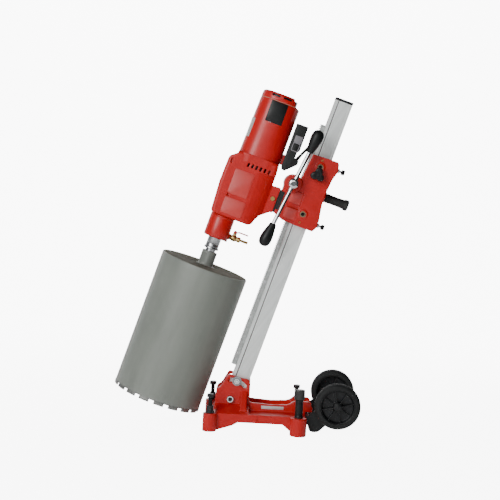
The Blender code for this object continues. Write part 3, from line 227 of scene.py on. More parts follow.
def make_looks():
    """Every finish on the rig."""
    made, red = {}, (0.56, 0.008, 0.006)

    def add(name, colour, rough, metal=0.0, **more):
        made[name] = surface(name, colour, rough, metal, **more)

    # edge paints sharp edges lighter, partly wear and partly painted highlight; dark paints shade
    # into the hollows.
    add("red_gloss", red, 0.36, coat=0.22, vary=0.04, bump=0.06, grain=420.0, edge=0.02, dark=0.5,
        shine=0.35)
    # Painted sheen: a lighter red than the paint, for flat pads that catch the light; the rougher
    # coat is the real satin finish.
    add("red_satin_painted_sheen", (0.6, 0.032, 0.026), 0.42, coat=0.15, vary=0.04, bump=0.1, grain=420.0)
    add("red_cast", red, 0.4, coat=0.12, vary=0.05, bump=0.2, grain=520.0, depth=0.0004, edge=0.05,
        dark=0.6, shine=0.35)
    add("mast_metal", (0.9, 0.93, 0.91), 0.42, 0.4, vary=0.05, blotch=90.0, grain=900.0, bump=0.1,
        turn=TILT, stretch=(1.0, 1.0, 60.0))
    add("rack_steel", (0.46, 0.48, 0.47), 0.42, 0.8, vary=0.2, blotch=120.0, bump=0.2)
    add("chrome", (0.8, 0.82, 0.83), 0.1, 1.0, vary=0.03, bump=0.03, rough_vary=0.04)
    add("steel", (0.52, 0.53, 0.54), 0.32, 1.0, vary=0.1)
    add("bit_grey", (0.235, 0.252, 0.225), 0.46, 0.1, vary=0.06, shine=0.4, blotch=22.0,
        grain=650.0, bump=0.16, rough_vary=0.1, stretch=(1.0, 1.0, 5.0), edge=0.12)
    # Painted shade: a darker, browner grey for the barrel's top, which the lamps light little.
    add("bit_top_shade", (0.15, 0.15, 0.118), 0.85, vary=0.1, bump=0.1, grain=300.0, shine=0.05)
    add("zinc", (0.36, 0.38, 0.39), 0.36, 0.85, vary=0.12, bump=0.1)
    add("bit_metal", (0.22, 0.225, 0.21), 0.48, 0.7, vary=0.18, blotch=160.0, bump=0.5,
        depth=0.0005, edge=0.4)
    add("brass", (0.5, 0.33, 0.12), 0.3, 1.0, vary=0.16, blotch=70.0, bump=0.12)
    add("dull_brass", (0.34, 0.27, 0.16), 0.42, 0.9, vary=0.16, blotch=90.0, bump=0.2)
    add("black_plastic", (0.008, 0.009, 0.009), 0.4, vary=0.25, shine=0.3, bump=0.25, grain=1500.0,
        edge=0.03)
    add("box_plastic", (0.014, 0.016, 0.016), 0.5, vary=0.2, shine=0.35, bump=0.45, grain=1300.0)
    add("rubber", (0.015, 0.016, 0.015), 0.6, vary=0.3, bump=0.35, grain=900.0)
    add("tyre", (0.011, 0.012, 0.012), 0.66, shine=0.35, vary=0.3, blotch=40.0, bump=0.5,
        grain=800.0, depth=0.0005)
    add("wheel_plastic", (0.008, 0.009, 0.01), 0.34, vary=0.25, shine=0.4, bump=0.25, grain=1200.0)
    add("black_steel", (0.01, 0.011, 0.011), 0.4, 0.1, shine=0.35, vary=0.25, bump=0.25,
        grain=600.0, edge=0.04)
    add("grey_plastic", (0.05, 0.05, 0.046), 0.5, vary=0.15, bump=0.3, grain=900.0)
    add("panel_grey", (0.21, 0.2, 0.22), 0.45, vary=0.1, bump=0.2)
    add("label_silver", (0.6, 0.6, 0.58), 0.42, 0.45, vary=0.08, blotch=120.0, bump=0.1)
    add("cord", (0.013, 0.015, 0.015), 0.5, vary=0.25, bump=0.3, grain=1400.0)
    # Painted highlight: a light beige for the band between cap and housing.
    add("highlight_gasket", (0.42, 0.3, 0.2), 0.55, vary=0.15, bump=0.2)
    add("copper", (0.55, 0.25, 0.12), 0.35, 1.0, vary=0.2, blotch=200.0)
    # Painted shade: near black, for dark pieces set into recesses and gaps that lie in shade.
    add("shade_black", (0.01, 0.01, 0.01), 0.6, vary=0.3, bump=0.2)
    return made


# --- Shapes ---
def as_mesh(bm):
    """The finished mesh, welded, with its faces turned outwards."""
    bmesh.ops.remove_doubles(bm, verts=bm.verts, dist=0.000005)
    bmesh.ops.recalc_face_normals(bm, faces=bm.faces)
    mesh = bpy.data.meshes.new("shape")
    bm.to_mesh(mesh)
    bm.free()
    return mesh


def along(axis, place=(0.0, 0.0, 0.0)):
    """The matrix that lays a shape's own Z along an axis, at a place."""
    direction = {"X": (1, 0, 0), "Y": (0, 1, 0), "-Y": (0, -1, 0), "Z": (0, 0, 1)}.get(axis, axis)
    turn = Vector((0, 0, 1)).rotation_difference(Vector(direction).normalized())
    return Matrix.Translation(place) @ turn.to_matrix().to_4x4()


def moved(mesh, matrix):
    mesh.transform(matrix)
    return mesh


def merged(*meshes):
    """Several meshes as one, each left where it is."""
    bm = bmesh.new()
    for mesh in meshes:
        bm.from_mesh(mesh)
    made = bpy.data.meshes.new("shape")
    bm.to_mesh(made)
    bm.free()
    return made


def block(low, high):
    """A box between two corners."""
    low, high = Vector(low), Vector(high)
    bm = bmesh.new()
    size = Matrix.Diagonal((*(high - low), 1.0))
    bmesh.ops.create_cube(bm, size=1.0, matrix=Matrix.Translation((low + high) / 2) @ size)
    return as_mesh(bm)


def lathe(profile, steps=48, axis="Z", place=(0.0, 0.0, 0.0), closed=False, bore=0.0):
    """A turned shape. The profile of (radius, height) runs from the top down the outside.

    Its ends are carried on to the axis, or to a bore. A closed profile joins its own ends.
    """
    if not closed:
        (first, top), (last, bottom) = profile[0], profile[-1]
        profile = ([(bore, top)] * (first > 0) + list(profile) + [(bore, bottom)] * (last > 0))
        closed = bore > 0
    bm = bmesh.new()
    rings = []
    for radius, height in profile:
        if radius < 1e-7:
            rings.append([bm.verts.new((0.0, 0.0, height))] * steps)
        else:
            rings.append([bm.verts.new((radius * cos(2 * pi * k / steps),
                                        radius * sin(2 * pi * k / steps), height))
                          for k in range(steps)])
    pairs = list(zip(rings, rings[1:])) + ([(rings[-1], rings[0])] if closed else [])
    for upper, lower in pairs:
        for k in range(steps):
            j = (k + 1) % steps
            corners = list(dict.fromkeys((upper[k], lower[k], lower[j], upper[j])))
            if len(corners) > 2:
                bm.faces.new(corners)
    return moved(as_mesh(bm), along(axis, place))


def rod(radius, top, bottom, *turned):
    """A plain cylinder. What follows its ends is as for lathe."""
    return lathe([(radius, top), (radius, bottom)], *turned)


def loft(sections):
    """A solid through several closed outlines of as many 3-D points each, capped at both ends."""
    bm = bmesh.new()
    rings = [[bm.verts.new(p) for p in section] for section in sections]
    for a, b in zip(rings, rings[1:]):
        for k in range(len(a)):
            j = (k + 1) % len(a)
            bm.faces.new((a[k], a[j], b[j], b[k]))
    bm.faces.new(rings[0][::-1])
    bm.faces.new(rings[-1])
    return as_mesh(bm)


def stack(outline, levels, middle=0.0):
    """An outline at several heights, each time scaled about a place on the X axis."""
    return loft([[(middle + (x - middle) * k, y * k, z) for x, y in outline] for k, z in levels])


def prism(outline, low, high, plane="side"):
    """A flat outline made solid: side (x, z) along Y, plan (x, y) along Z, front (y, z) along X."""
    place = {"side": lambda u, v, w: (u, w, v), "plan": lambda u, v, w: (u, v, w),
             "front": lambda u, v, w: (w, u, v)}[plane]
    return loft([[place(u, v, w) for u, v in outline] for w in (low, high)])


def rounded(half_x, half_y, radius, centre=(0.0, 0.0), steps=6):
    """A rectangle's outline with round corners."""
    points = []
    for k, (sx, sy) in enumerate(((1, 1), (-1, 1), (-1, -1), (1, -1))):
        for i in range(steps + 1):
            a = radians(90 * k + 90 * i / steps)
            points.append((centre[0] + sx * (half_x - radius) + radius * cos(a),
                           centre[1] + sy * (half_y - radius) + radius * sin(a)))
    return points


def polygon(sides, radius, start=0.0):
    """A regular polygon's outline, its first corner turned by start."""
    return [(radius * cos(start + 2 * pi * k / sides), radius * sin(start + 2 * pi * k / sides))
            for k in range(sides)]


def smooth_line(points, pieces=8):
    """Points on a Catmull-Rom curve through the given ones."""
    knots = [Vector(p) for p in points]
    knots = [2 * knots[0] - knots[1], *knots, 2 * knots[-1] - knots[-2]]
    fine = []
    for a, b, c, d in zip(knots, knots[1:], knots[2:], knots[3:]):
        for k in range(pieces):
            t = k / pieces
            fine.append(0.5 * (2 * b + (c - a) * t + (2 * a - 5 * b + 4 * c - d) * t**2
                               + (3 * b - a - 3 * c + d) * t**3))
    return [*fine, knots[-2]]


def reshape(thing, unions=(), cuts=(), bevel=None, voxel=None, rounds=0):
    """Bakes Booleans, a bevel and a voxel remesh with smoothing into a piece's own mesh."""
    helpers = []
    for operation, meshes in (("UNION", unions), ("DIFFERENCE", cuts)):
        for mesh in meshes:
            tool = linked("tool", mesh)
            tool.matrix_world = thing.matrix_world
            helpers.append(tool)
            boolean = thing.modifiers.new("boolean", "BOOLEAN")
            boolean.operation, boolean.object, boolean.solver = operation, tool, "EXACT"
    if voxel:
        remesh = thing.modifiers.new("remesh", "REMESH")
        remesh.mode, remesh.voxel_size, remesh.adaptivity = "VOXEL", voxel, 0.0
        relax = thing.modifiers.new("relax", "SMOOTH")
        relax.factor, relax.iterations = 0.5, rounds
    if bevel:
        rounding = thing.modifiers.new("bevel", "BEVEL")
        rounding.width, rounding.segments = bevel
        rounding.limit_method, rounding.angle_limit = "ANGLE", radians(32)
    bpy.context.view_layer.update()
    ready = thing.evaluated_get(bpy.context.evaluated_depsgraph_get())
    mesh = bpy.data.meshes.new_from_object(ready)
    thing.modifiers.clear()
    thing.data = mesh
    for tool in helpers:
        bpy.data.objects.remove(tool)


def piece(name, mesh, look, body="carriage", stands_for=(), at=MAST, bevel=None, sharp=35,
          **shaping):
    """A piece of the rig: its mesh in a frame, its finish, its body and the nodes it replaces."""
    thing = linked(name, mesh)
    thing.matrix_world = at
    if bevel or shaping:
        reshape(thing, bevel=bevel, **shaping)
    thing.data.materials.clear()
    thing.data.materials.append(looks[look])
    thing.data.shade_smooth()
    if sharp < 180:
        thing.data.set_sharp_from_angle(angle=radians(sharp))
    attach(thing, body)
    if stands_for:
        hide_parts(*stands_for)
    return thing


def dress(node, look, bevel=None):
    """Gives a CAD node its finish, and rounds its edges."""
    thing = frame["nodes"][node]
    for place in thing.material_slots:
        place.link = "OBJECT"
        place.material = looks[look]
    if bevel:
        weld = thing.modifiers.new("weld", "WELD")
        weld.merge_threshold = 0.00002
        rounding = thing.modifiers.new("bevel", "BEVEL")
        rounding.width, rounding.segments = bevel
        rounding.limit_method, rounding.angle_limit = "ANGLE", radians(30)
        rounding.harden_normals = True


def node_mesh(node, at):
    """A copy of a CAD node's mesh, moved into a frame and welded."""
    mesh = frame["nodes"][node].data.copy()
    mesh.transform(at.inverted())
    bm = bmesh.new()
    bm.from_mesh(mesh)
    bmesh.ops.remove_doubles(bm, verts=bm.verts, dist=0.00002)
    bm.to_mesh(mesh)
    bm.free()
    return mesh


# --- The base ---
def hexagon(across, low, high, axis, place, start=0.0, chamfer=0.0008):
    """A hexagon from low to high along an axis, with its corners turned off by the chamfer."""
    radius = across / sqrt(3)
    rows = [(radius, low), (radius, high)]
    if chamfer:
        rows = [(radius - chamfer, low), (radius, low + chamfer), (radius, high - chamfer),
                (radius - chamfer, high)]
    return moved(stack(polygon(6, 1.0, start), rows), along(axis, place))


def socket_cut(across, low, high, axis, place, start=0.0):
    """The room for a hexagon key, with plain ends."""
    return hexagon(across, low, high, axis, place, start, 0.0)


def thread(radius, top, bottom, pitch=0.00175, depth=0.0007):
    """A screw's profile from top to bottom, as rings."""
    points, z = [], top
    while z - pitch > bottom:
        points += [(radius, z - 0.15 * pitch), (radius - depth, z - 0.5 * pitch),
                   (radius, z - 0.85 * pitch)]
        z -= pitch
    return points


def add_base():
    """The casting with its bosses and ribs, and what is bolted to it."""
    piece("base_casting_fine", node_mesh("base_casting", RIG), "red_cast", "base", ["base_casting"],
          RIG, voxel=0.002, rounds=3, sharp=180)

    plate = rounded(0.038, 0.0056, 0.0012, (0.1035, 0.0725))
    for side, name in SIDES:
        low, high = sorted((side * 0.0455, side * 0.0468))
        piece(f"blank_label_{name}", prism(plate, low, high), "label_silver", "base", at=RIG,
              bevel=(0.0003, 2))

    point = [(0.005, 0.004), (0.0035, 0.003), (0.0, 0.003)]
    for name, x, y in (("front_left", -0.105, 0.12), ("front_right", -0.105, -0.12),
                       ("rear_left", 0.19, 0.13)):
        place = (x, y, 0.0)
        head = hexagon(0.0215, 0.113, 0.124, "Z", place, 0.3)
        shaft = lathe([(0.0105, 0.114), (0.011, 0.1125), (0.0072, 0.1115),
                       *thread(0.007, 0.111, 0.012), *point], 32, "Z", place)
        piece(f"levelling_bolt_{name}", merged(head, shaft), "black_steel", f"screw_{name}",
              [f"levelling_screw_{name}"], RIG)
        nut = [hexagon(0.0205, 0.0665, 0.079, "Z", place, 0.8)]
        for rim in ([(0.0098, 0.0845), (0.0104, 0.0835), (0.0104, 0.078)],
                    [(0.014, 0.067), (0.0145, 0.066), (0.0145, 0.0612)]):
            nut.append(lathe(rim, 32, "Z", place, bore=0.0072))
        piece(f"levelling_locknut_{name}", merged(*nut), "black_steel", "base",
              [f"levelling_nut_{name}"], RIG)

    place = (0.19, -0.13, 0.0)
    ribs = []
    for k in range(40):
        a = 2 * pi * k / 40
        for turn, radius in ((-0.055, 0.0166), (-0.035, 0.0176), (0.035, 0.0176), (0.055, 0.0166)):
            ribs.append((radius * cos(a + turn), radius * sin(a + turn)))
    shrink = ((0.9, 0.1543), (0.96, 0.153), (0.97, 0.148), (1.0, 0.124), (0.99, 0.1225))
    cap = stack(ribs, shrink[::-1])
    crown = lathe([(0.0, 0.1545), (0.012, 0.155), (0.0145, 0.1546), (0.0152, 0.153)], 40)
    stem = lathe([(0.0, 0.14), *thread(0.007, 0.14, 0.012), *point], 32)
    room = lathe([(0.0141, 0.11), (0.0141, 0.149)], 40, "Z", place, bore=0.0071)
    piece("levelling_cap", moved(merged(cap, crown, stem), Matrix.Translation(place)),
          "grey_plastic", "screw_rear_right", ["levelling_screw_rear_right"], RIG, cuts=[room])
    sleeve = lathe([(0.0118, 0.1208), (0.0128, 0.1198), (0.013, 0.112), (0.0122, 0.111),
                    (0.013, 0.11), (0.013, 0.076), (0.0122, 0.075), (0.013, 0.074), (0.013, 0.068),
                    (0.0142, 0.066), (0.0145, 0.065), (0.0145, 0.0612)], 40, "Z", place,
                   bore=0.0073)
    piece("levelling_sleeve_fine", sleeve, "black_plastic", "base", ["levelling_sleeve"], RIG)


def add_tilt_bolts():
    """The pivot bolt through both plates, and the bolt that locks the tilt."""
    at = RIG @ Matrix.Translation((-0.0406, 0.0, 0.0958))
    shank = rod(0.008, 0.0462, -0.0462, 32, "Y")
    washers = [lathe([(0.0152, 0.048), (0.0155, 0.0477), (0.0155, 0.0464)], 40, axis, (0, 0, 0),
                     bore=0.0078) for axis in ("Y", "-Y")]
    head = lathe([(0.0105, 0.0568), (0.0118, 0.0558), (0.012, 0.0545), (0.012, 0.0479)], 40, "-Y")
    piece("pivot_bolt_fine", merged(shank, *washers, head), "chrome", "base", ["pivot_bolt"], at,
          cuts=[socket_cut(0.0136, -0.06, -0.05, "Y", (0, 0, 0), 0.4)])
    # Painted shade: a dark hexagon at the bottom of the bolt's key socket.
    piece("pivot_socket_shade", socket_cut(0.0134, -0.0512, -0.0499, "Y", (0, 0, 0), 0.4), "shade_black",
          "base", at=at)
    piece("pivot_nut", hexagon(0.021, 0.0481, 0.056, "Y", (0, 0, 0), 0.2), "chrome", "base", at=at)

    at = MAST @ Matrix.Translation((0.0, 0.0, 0.065))
    face = 0.0461
    shank = rod(0.007, face, -face, 32, "Y")
    washers = [lathe([(0.0157, face + 0.0025), (0.016, face + 0.0021), (0.016, face + 0.0003)], 40,
                     axis, (0, 0, 0), bore=0.0068) for axis in ("Y", "-Y")]
    bolt = hexagon(0.019, face + 0.0026, face + 0.0105, "-Y", (0, 0, 0), 0.35, 0.0012)
    tip = lathe([(0.0045, face + 0.0123), (0.0055, face + 0.0115), (0.0055, face + 0.01)], 32, "-Y")
    nut = hexagon(0.02, face + 0.0026, face + 0.01, "Y", (0, 0, 0), 0.1, 0.0012)
    piece("tilt_bolt_fine", merged(shank, bolt, tip, nut), "chrome", "mast", ["tilt_lock_bolt"], at)
    piece("tilt_washers", merged(*washers), "zinc", "mast", at=at)


def add_wheels():
    """The carrier and its bolts, the axle, and two tyred wheels with ribbed discs."""
    dress("wheel_carrier", "black_steel", (0.0012, 2))
    dress("wheel_axle", "steel", (0.0006, 2))
    for k, y in enumerate((-0.07, -0.025, 0.025, 0.07)):
        bolt = merged(lathe([(0.0078, 0.0015), (0.008, 0.0012), (0.008, 0.0)], 32),
                      hexagon(0.01, 0.0014, 0.0065, "Z", (0, 0, 0), k))
        piece(f"carrier_bolt_{k + 1}", moved(bolt, along("X", (0.2228, y, 0.047))), "steel", "base",
              at=RIG)
    tyre = [(0.0578, 0.0225), (0.06, 0.0232), (0.0665, 0.0228), (0.0715, 0.0205), (0.0745, 0.016),
            (0.0756, 0.0125), (0.0745, 0.0115), (0.0745, 0.0095), (0.0758, 0.0085), (0.076, 0.005),
            (0.0748, 0.004), (0.0748, 0.002), (0.076, 0.001)]
    tyre += [(r, -z) for r, z in tyre[::-1]] + [(0.056, -0.019), (0.056, 0.019)]
    disc = [(0.0064, 0.0225), (0.01, 0.0232), (0.014, 0.0225), (0.015, 0.02), (0.0152, 0.0065),
            (0.018, 0.004), (0.05, 0.0032), (0.053, 0.006), (0.0542, 0.0195), (0.0562, 0.0205),
            (0.0575, 0.019)]
    disc += [(r, -z) for r, z in disc[::-1]]
    for name, side, axis in (("left", 1, "Y"), ("right", -1, "-Y")):
        at = RIG @ Matrix.Translation((0.3165, side * 0.137, 0.107)) @ along(axis)
        body = f"wheel_{name}_body"
        piece(f"tyre_{name}", lathe(tyre, 72, closed=True), "tyre", body, at=at)
        cap = lathe([(0.0, 0.0268), (0.008, 0.0266), (0.0108, 0.0256), (0.0116, 0.0236),
                     (0.0116, 0.023)], 40)
        piece(f"hub_cap_{name}", cap, "wheel_plastic", body, at=at)
        hub = lathe([(0.014, -0.02), (0.014, -0.036)], 40, bore=0.0064)
        fins = []
        for k in range(8):
            turn = Matrix.Rotation(radians(45 * k + 12), 4, "Z")
            for half in (1, -1):
                fin = [(0.014, 0.0), (0.014, half * 0.0205), (0.018, half * 0.02),
                       (0.046, half * 0.013), (0.0535, half * 0.015), (0.0545, 0.0)]
                fins.append(moved(prism(fin, -0.0014, 0.0014), turn))
        piece(f"wheel_disc_{name}", merged(lathe(disc, 72, closed=True), hub, *fins),
              "wheel_plastic", body, [f"wheel_{name}"], at, bevel=(0.0005, 2))


# --- The mast ---
def add_mast():
    """The extruded column with its grooves, the rack and its screws, and the end cap."""
    right = [(0.0385, 0.03), (0.04, 0.0285), (0.04, 0.011), (0.0392, 0.0104), (0.0392, 0.0066),
             (0.04, 0.006)]
    near = []
    for x, half, depth in ((-0.008, 0.0015, 0.004), (0.001, 0.0005, 0.0006), (0.029, 0.0013, 0.002),
                           (0.0345, 0.0004, 0.0003)):
        near += [(x - half - 0.0005, 0.03), (x - half, 0.0297), (x - half, 0.03 - depth),
                 (x + half, 0.03 - depth), (x + half, 0.0297), (x + half + 0.0005, 0.03)]
    flank = [(-0.0185, 0.03)] + near + right
    outline = [(x, -y) for x, y in flank] + flank[::-1] + [(-0.02, 0.0285), (-0.02, -0.0285)]
    hollow = rounded(0.0245, 0.0245, 0.003, (0.01, 0.0))
    drill = [rod(r, 0.2, -0.2, 32, "Y", (0.0, 0.0, z)) for r, z in ((0.0083, 0.0), (0.0073, 0.065))]
    piece("mast_column_fine", prism(outline, -0.022, 1.068, "plan"), "mast_metal", "mast",
          ["mast_column"], cuts=[prism(hollow, -0.1, 1.2, "plan"), *drill], sharp=20)
    # Painted shade: a dark strip laid in each groove, so that it reads as a dark line.
    for side, name in SIDES:
        low, high = sorted((side * 0.0262, side * 0.029))
        piece(f"groove_shade_strip_{name}", block((-0.0096, low, -0.02), (-0.0064, high, 1.066)),
              "grey_plastic", "mast")
    dress("mast_rack", "rack_steel", (0.0003, 2))
    for k in range(7):
        z = 0.15 + 0.13 * k
        screw = lathe([(0.0, 0.0012), (0.003, 0.0014), (0.0046, 0.0008), (0.0048, 0.0),
                       (0.0, -0.0002)], 24, "-Y", (-0.0275, -0.01, z))
        piece(f"rack_screw_{k + 1}", screw, "steel", "mast")
    cap = prism(rounded(0.031, 0.031, 0.0035, (0.01, 0.0)), 1.0683, 1.077, "plan")
    piece("end_cap_fine", cap, "black_plastic", "mast", ["mast_end_cap"], bevel=(0.0015, 3))


# --- The carriage ---
def add_carriage():
    """The casting, with raised rims and bosses, its adjusters, screws and rubber handle."""
    ring = [(0.01, 0.002), (0.0145, 0.002), (0.015, 0.001), (0.015, -0.006), (0.01, -0.006)]
    bosses = [lathe(ring, 40, "-Y", (0.01, -0.0605, z), True) for z in (0.838, 0.671)]
    bosses += [lathe([(0.011, 0.001), (0.012, 0.0), (0.012, -0.006)], 40, "-Y",
                     (0.01, -0.0605, 0.811))]
    bosses += [lathe([(0.0095, 0.073), (0.01, 0.072), (0.011, 0.056)], 32, "X", (0.0, 0.0, z),
                     bore=0.0045) for z in (0.848, 0.651)]
    bosses.append(lathe([(0.018, 0.064), (0.02, 0.056)], 40, "X", (0.0, 0.0, GRIP_Z)))
    piece("carriage_casting_fine", node_mesh("carriage_casting", MAST), "red_gloss", "carriage",
          ["carriage_casting"], unions=bosses, voxel=0.0013, rounds=4, sharp=180)

    # Painted shadow: dark strips on the carriage's sides beside the mounting plate, where the gap
    # lies in shade.
    for side, name in SIDES:
        low, high = sorted((side * 0.054, side * 0.0557))
        strip = block((-0.0826, low, 0.656), (-0.0715, high, 0.719))
        piece(f"mount_gap_shadow_{name}", strip, "shade_black")
    # Painted sheen: raised pads in a lighter red stand in for the sheen on these flat faces.
    for name, half, z in (("upper", 0.0205, 0.7145), ("lower", 0.019, 0.6585)):
        pad = prism(rounded(0.02, half - 0.001, 0.003, (-0.03, z)), -0.0572, -0.055)
        piece(f"carriage_pad_{name}", pad, "red_satin_painted_sheen", bevel=(0.0007, 2))
    for name, z in (("upper", 0.838), ("lower", 0.671)):
        ring = lathe([(0.0062, 0.056), (0.0066, 0.063), (0.007, 0.0634), (0.009, 0.0634),
                      (0.0098, 0.0628), (0.01, 0.056), (0.01, 0.0345)], 40, "-Y", (0.01, 0.0, z))
        piece(f"adjuster_ring_{name}", ring, "dull_brass", "carriage", [f"guide_adjuster_{name}"],
              cuts=[socket_cut(0.0114, 0.05, 0.07, "-Y", (0.01, 0.0, z), 0.3)])
        # Painted shade: a dark hexagon at the bottom of the adjuster's key socket.
        piece(f"adjuster_socket_shade_{name}", socket_cut(0.0112, 0.048, 0.0508, "-Y", (0.01, 0.0, z),
                                                    0.3), "shade_black")
    for name, z in (("upper", 0.861), ("lower", 0.642)):
        screw = lathe([(0.0016, 0.0598), (0.002, 0.0612), (0.0036, 0.0612), (0.004, 0.0606),
                       (0.004, 0.056)], 24, "-Y", (0.009, 0.0, z))
        piece(f"grub_screw_{name}", screw, "brass")
    for name in ("side_upper", "side_lower", "rear_upper", "rear_lower"):
        dress(f"guide_pad_{name}", "black_plastic", (0.0008, 2))

    outer = smooth_line([(0.0, 0.1475, 0), (0.011, 0.1474, 0), (0.0158, 0.1464, 0),
                         (0.0186, 0.1436, 0), (0.0189, 0.137, 0), (0.0182, 0.1315, 0)], 4)
    profile = [(max(0.0, p.x), p.y) for p in outer]
    for k in range(12):
        z = 0.13 - 0.0052 * k
        radius = 0.0166 - 0.0012 * sin(pi * (k + 1) / 13)
        profile += [(radius, z), (radius, z - 0.0032), (radius - 0.0009, z - 0.0038),
                    (radius - 0.0009, z - 0.0048)]
    profile += [(0.015, 0.067), (0.0165, 0.0655), (0.0168, 0.061), (0.0155, 0.0592), (0.0, 0.0592)]
    piece("rubber_grip", lathe(profile, 48, "X", (0.0, 0.0, GRIP_Z)), "rubber", "carriage",
          ["carriage_handle"])


def add_feed_lever():
    """The chrome hub, the rod through it, and the two black knobs."""
    dress("feed_pinion", "steel")
    at = MAST @ Matrix.Translation(LEVER)
    ball = smooth_line([(0.01, -0.0835, 0), (0.0125, -0.0838, 0), (0.0128, -0.088, 0),
                        (0.016, -0.093, 0), (0.0178, -0.099, 0), (0.0181, -0.105, 0),
                        (0.0176, -0.111, 0), (0.0152, -0.116, 0), (0.0105, -0.1186, 0),
                        (0.0, -0.119, 0)], 5)
    hub = lathe([(0.0, -0.0835)] + [(max(0.0, p.x), p.y) for p in ball], 56, "Y")
    piece("lever_hub", hub, "chrome", "feed_lever", ["feed_hub"], at, sharp=50)
    lever = at @ Matrix.Translation((0.0, -0.105, 0.0)) @ Matrix.Rotation(radians(6.5), 4, "Y")
    low, high = -0.147, 0.113
    collar = [(0.0, high), (0.007, high), (0.007, 0.0262), (0.0086, 0.0255), (0.0088, 0.019),
              (0.0088, -0.019), (0.0086, -0.0255), (0.007, -0.0262), (0.007, low), (0.0, low)]
    piece("lever_rod", lathe(collar, 40), "chrome", "feed_lever", ["feed_lever_rod"], lever,
          sharp=50)
    shape = [(0.0, 1.0), (0.3, 0.993), (0.6, 0.96), (0.84, 0.89), (0.97, 0.79), (1.0, 0.69),
             (0.97, 0.56), (0.87, 0.4), (0.72, 0.22), (0.6, 0.09), (0.53, 0.02), (0.46, 0.0),
             (0.0, 0.0)]
    outer = smooth_line([(r * 0.0205, h * 0.082, 0) for r, h in shape[:-1]], 4)
    for name, turn, start in (("upper", 1, high), ("lower", -1, -low)):
        knob = lathe([(max(0.0, p.x), start + p.y) for p in outer] + [(0.0, start)], 56)
        place = lever @ Matrix.Rotation(0 if turn > 0 else pi, 4, "Y")
        piece(f"lever_knob_{name}", knob, "black_plastic", "feed_lever", [f"feed_knob_{name}"],
              place, sharp=60)


def add_clamps():
    """The three-lobed knob that locks the carriage, and the two screws behind the pads."""
    def lobe_radius(a):
        """The knob's edge: three round lobes joined by hollows."""
        swing = (1 + cos(3 * (a - radians(90)))) / 2
        return 0.015 + 0.01 * swing ** 0.75

    angles = [2 * pi * k / 72 for k in range(72)]
    rows = ((0.86, -0.07), (0.95, -0.0706), (1.0, -0.0725), (1.0, -0.088), (0.96, -0.0905),
            (0.86, -0.092), (0.5, -0.0916))
    star = loft([[(lobe_radius(a) * k * cos(a), y, lobe_radius(a) * k * sin(a)) for a in angles]
                 for k, y in rows])
    stem = lathe([(0.0085, 0.0712), (0.009, 0.069), (0.009, 0.0612), (0.005, 0.0605),
                  (0.005, 0.0303)], 32, "-Y")
    at = MAST @ Matrix.Translation((0.01, 0.0, 0.811))
    piece("star_knob", merged(star, stem), "black_plastic", "lock_knob", ["carriage_lock_knob"], at,
          sharp=50)
    cap = lathe([(0.0, 0.0928), (0.0045, 0.0926), (0.0055, 0.0914), (0.0, 0.091)], 32, "-Y")
    piece("star_knob_cap", cap, "box_plastic", "lock_knob", at=at)

    for name, z in (("upper", 0.848), ("lower", 0.651)):
        at = MAST @ Matrix.Translation((0.0, 0.0, z)) @ along("X")
        shank = lathe([(0.004, 0.086), *thread(0.004, 0.085, 0.048, 0.001, 0.0004),
                       (0.0038, 0.0443)], 24)
        piece(f"clamp_shank_{name}", shank, "steel", f"clamp_{name}", at=at)
        collar = hexagon(0.013, 0.0735, 0.0785, "Z", (0, 0, 0), 0.2)
        piece(f"clamp_locknut_{name}", collar, "steel", f"clamp_{name}", at=at)
        radii = [0.0084 * (1 + 0.05 * cos(12 * a)) for a in angles]
        edge = [(r * cos(a), r * sin(a)) for r, a in zip(radii, angles)]
        rows = ((0.6, 0.0845), (0.92, 0.0852), (1.0, 0.0866), (1.0, 0.0945), (0.93, 0.0962),
                (0.75, 0.097))
        piece(f"clamp_head_{name}", stack(edge, rows), "black_plastic", f"clamp_{name}",
              [f"clamp_screw_{name}"], at, sharp=50)


# --- The drill motor ---
def motor_ring(half_x, half_y, centre, steps=96):
    """The motor's section: a square whose sides and corners are all a little round."""
    ring = []
    for k in range(steps):
        a = 2 * pi * (k + 0.5) / steps
        c, s = cos(a), sin(a)
        ring.append((centre + half_x * copysign(abs(c) ** (2 / SQUARENESS), c),
                     half_y * copysign(abs(s) ** (2 / SQUARENESS), s)))
    return ring


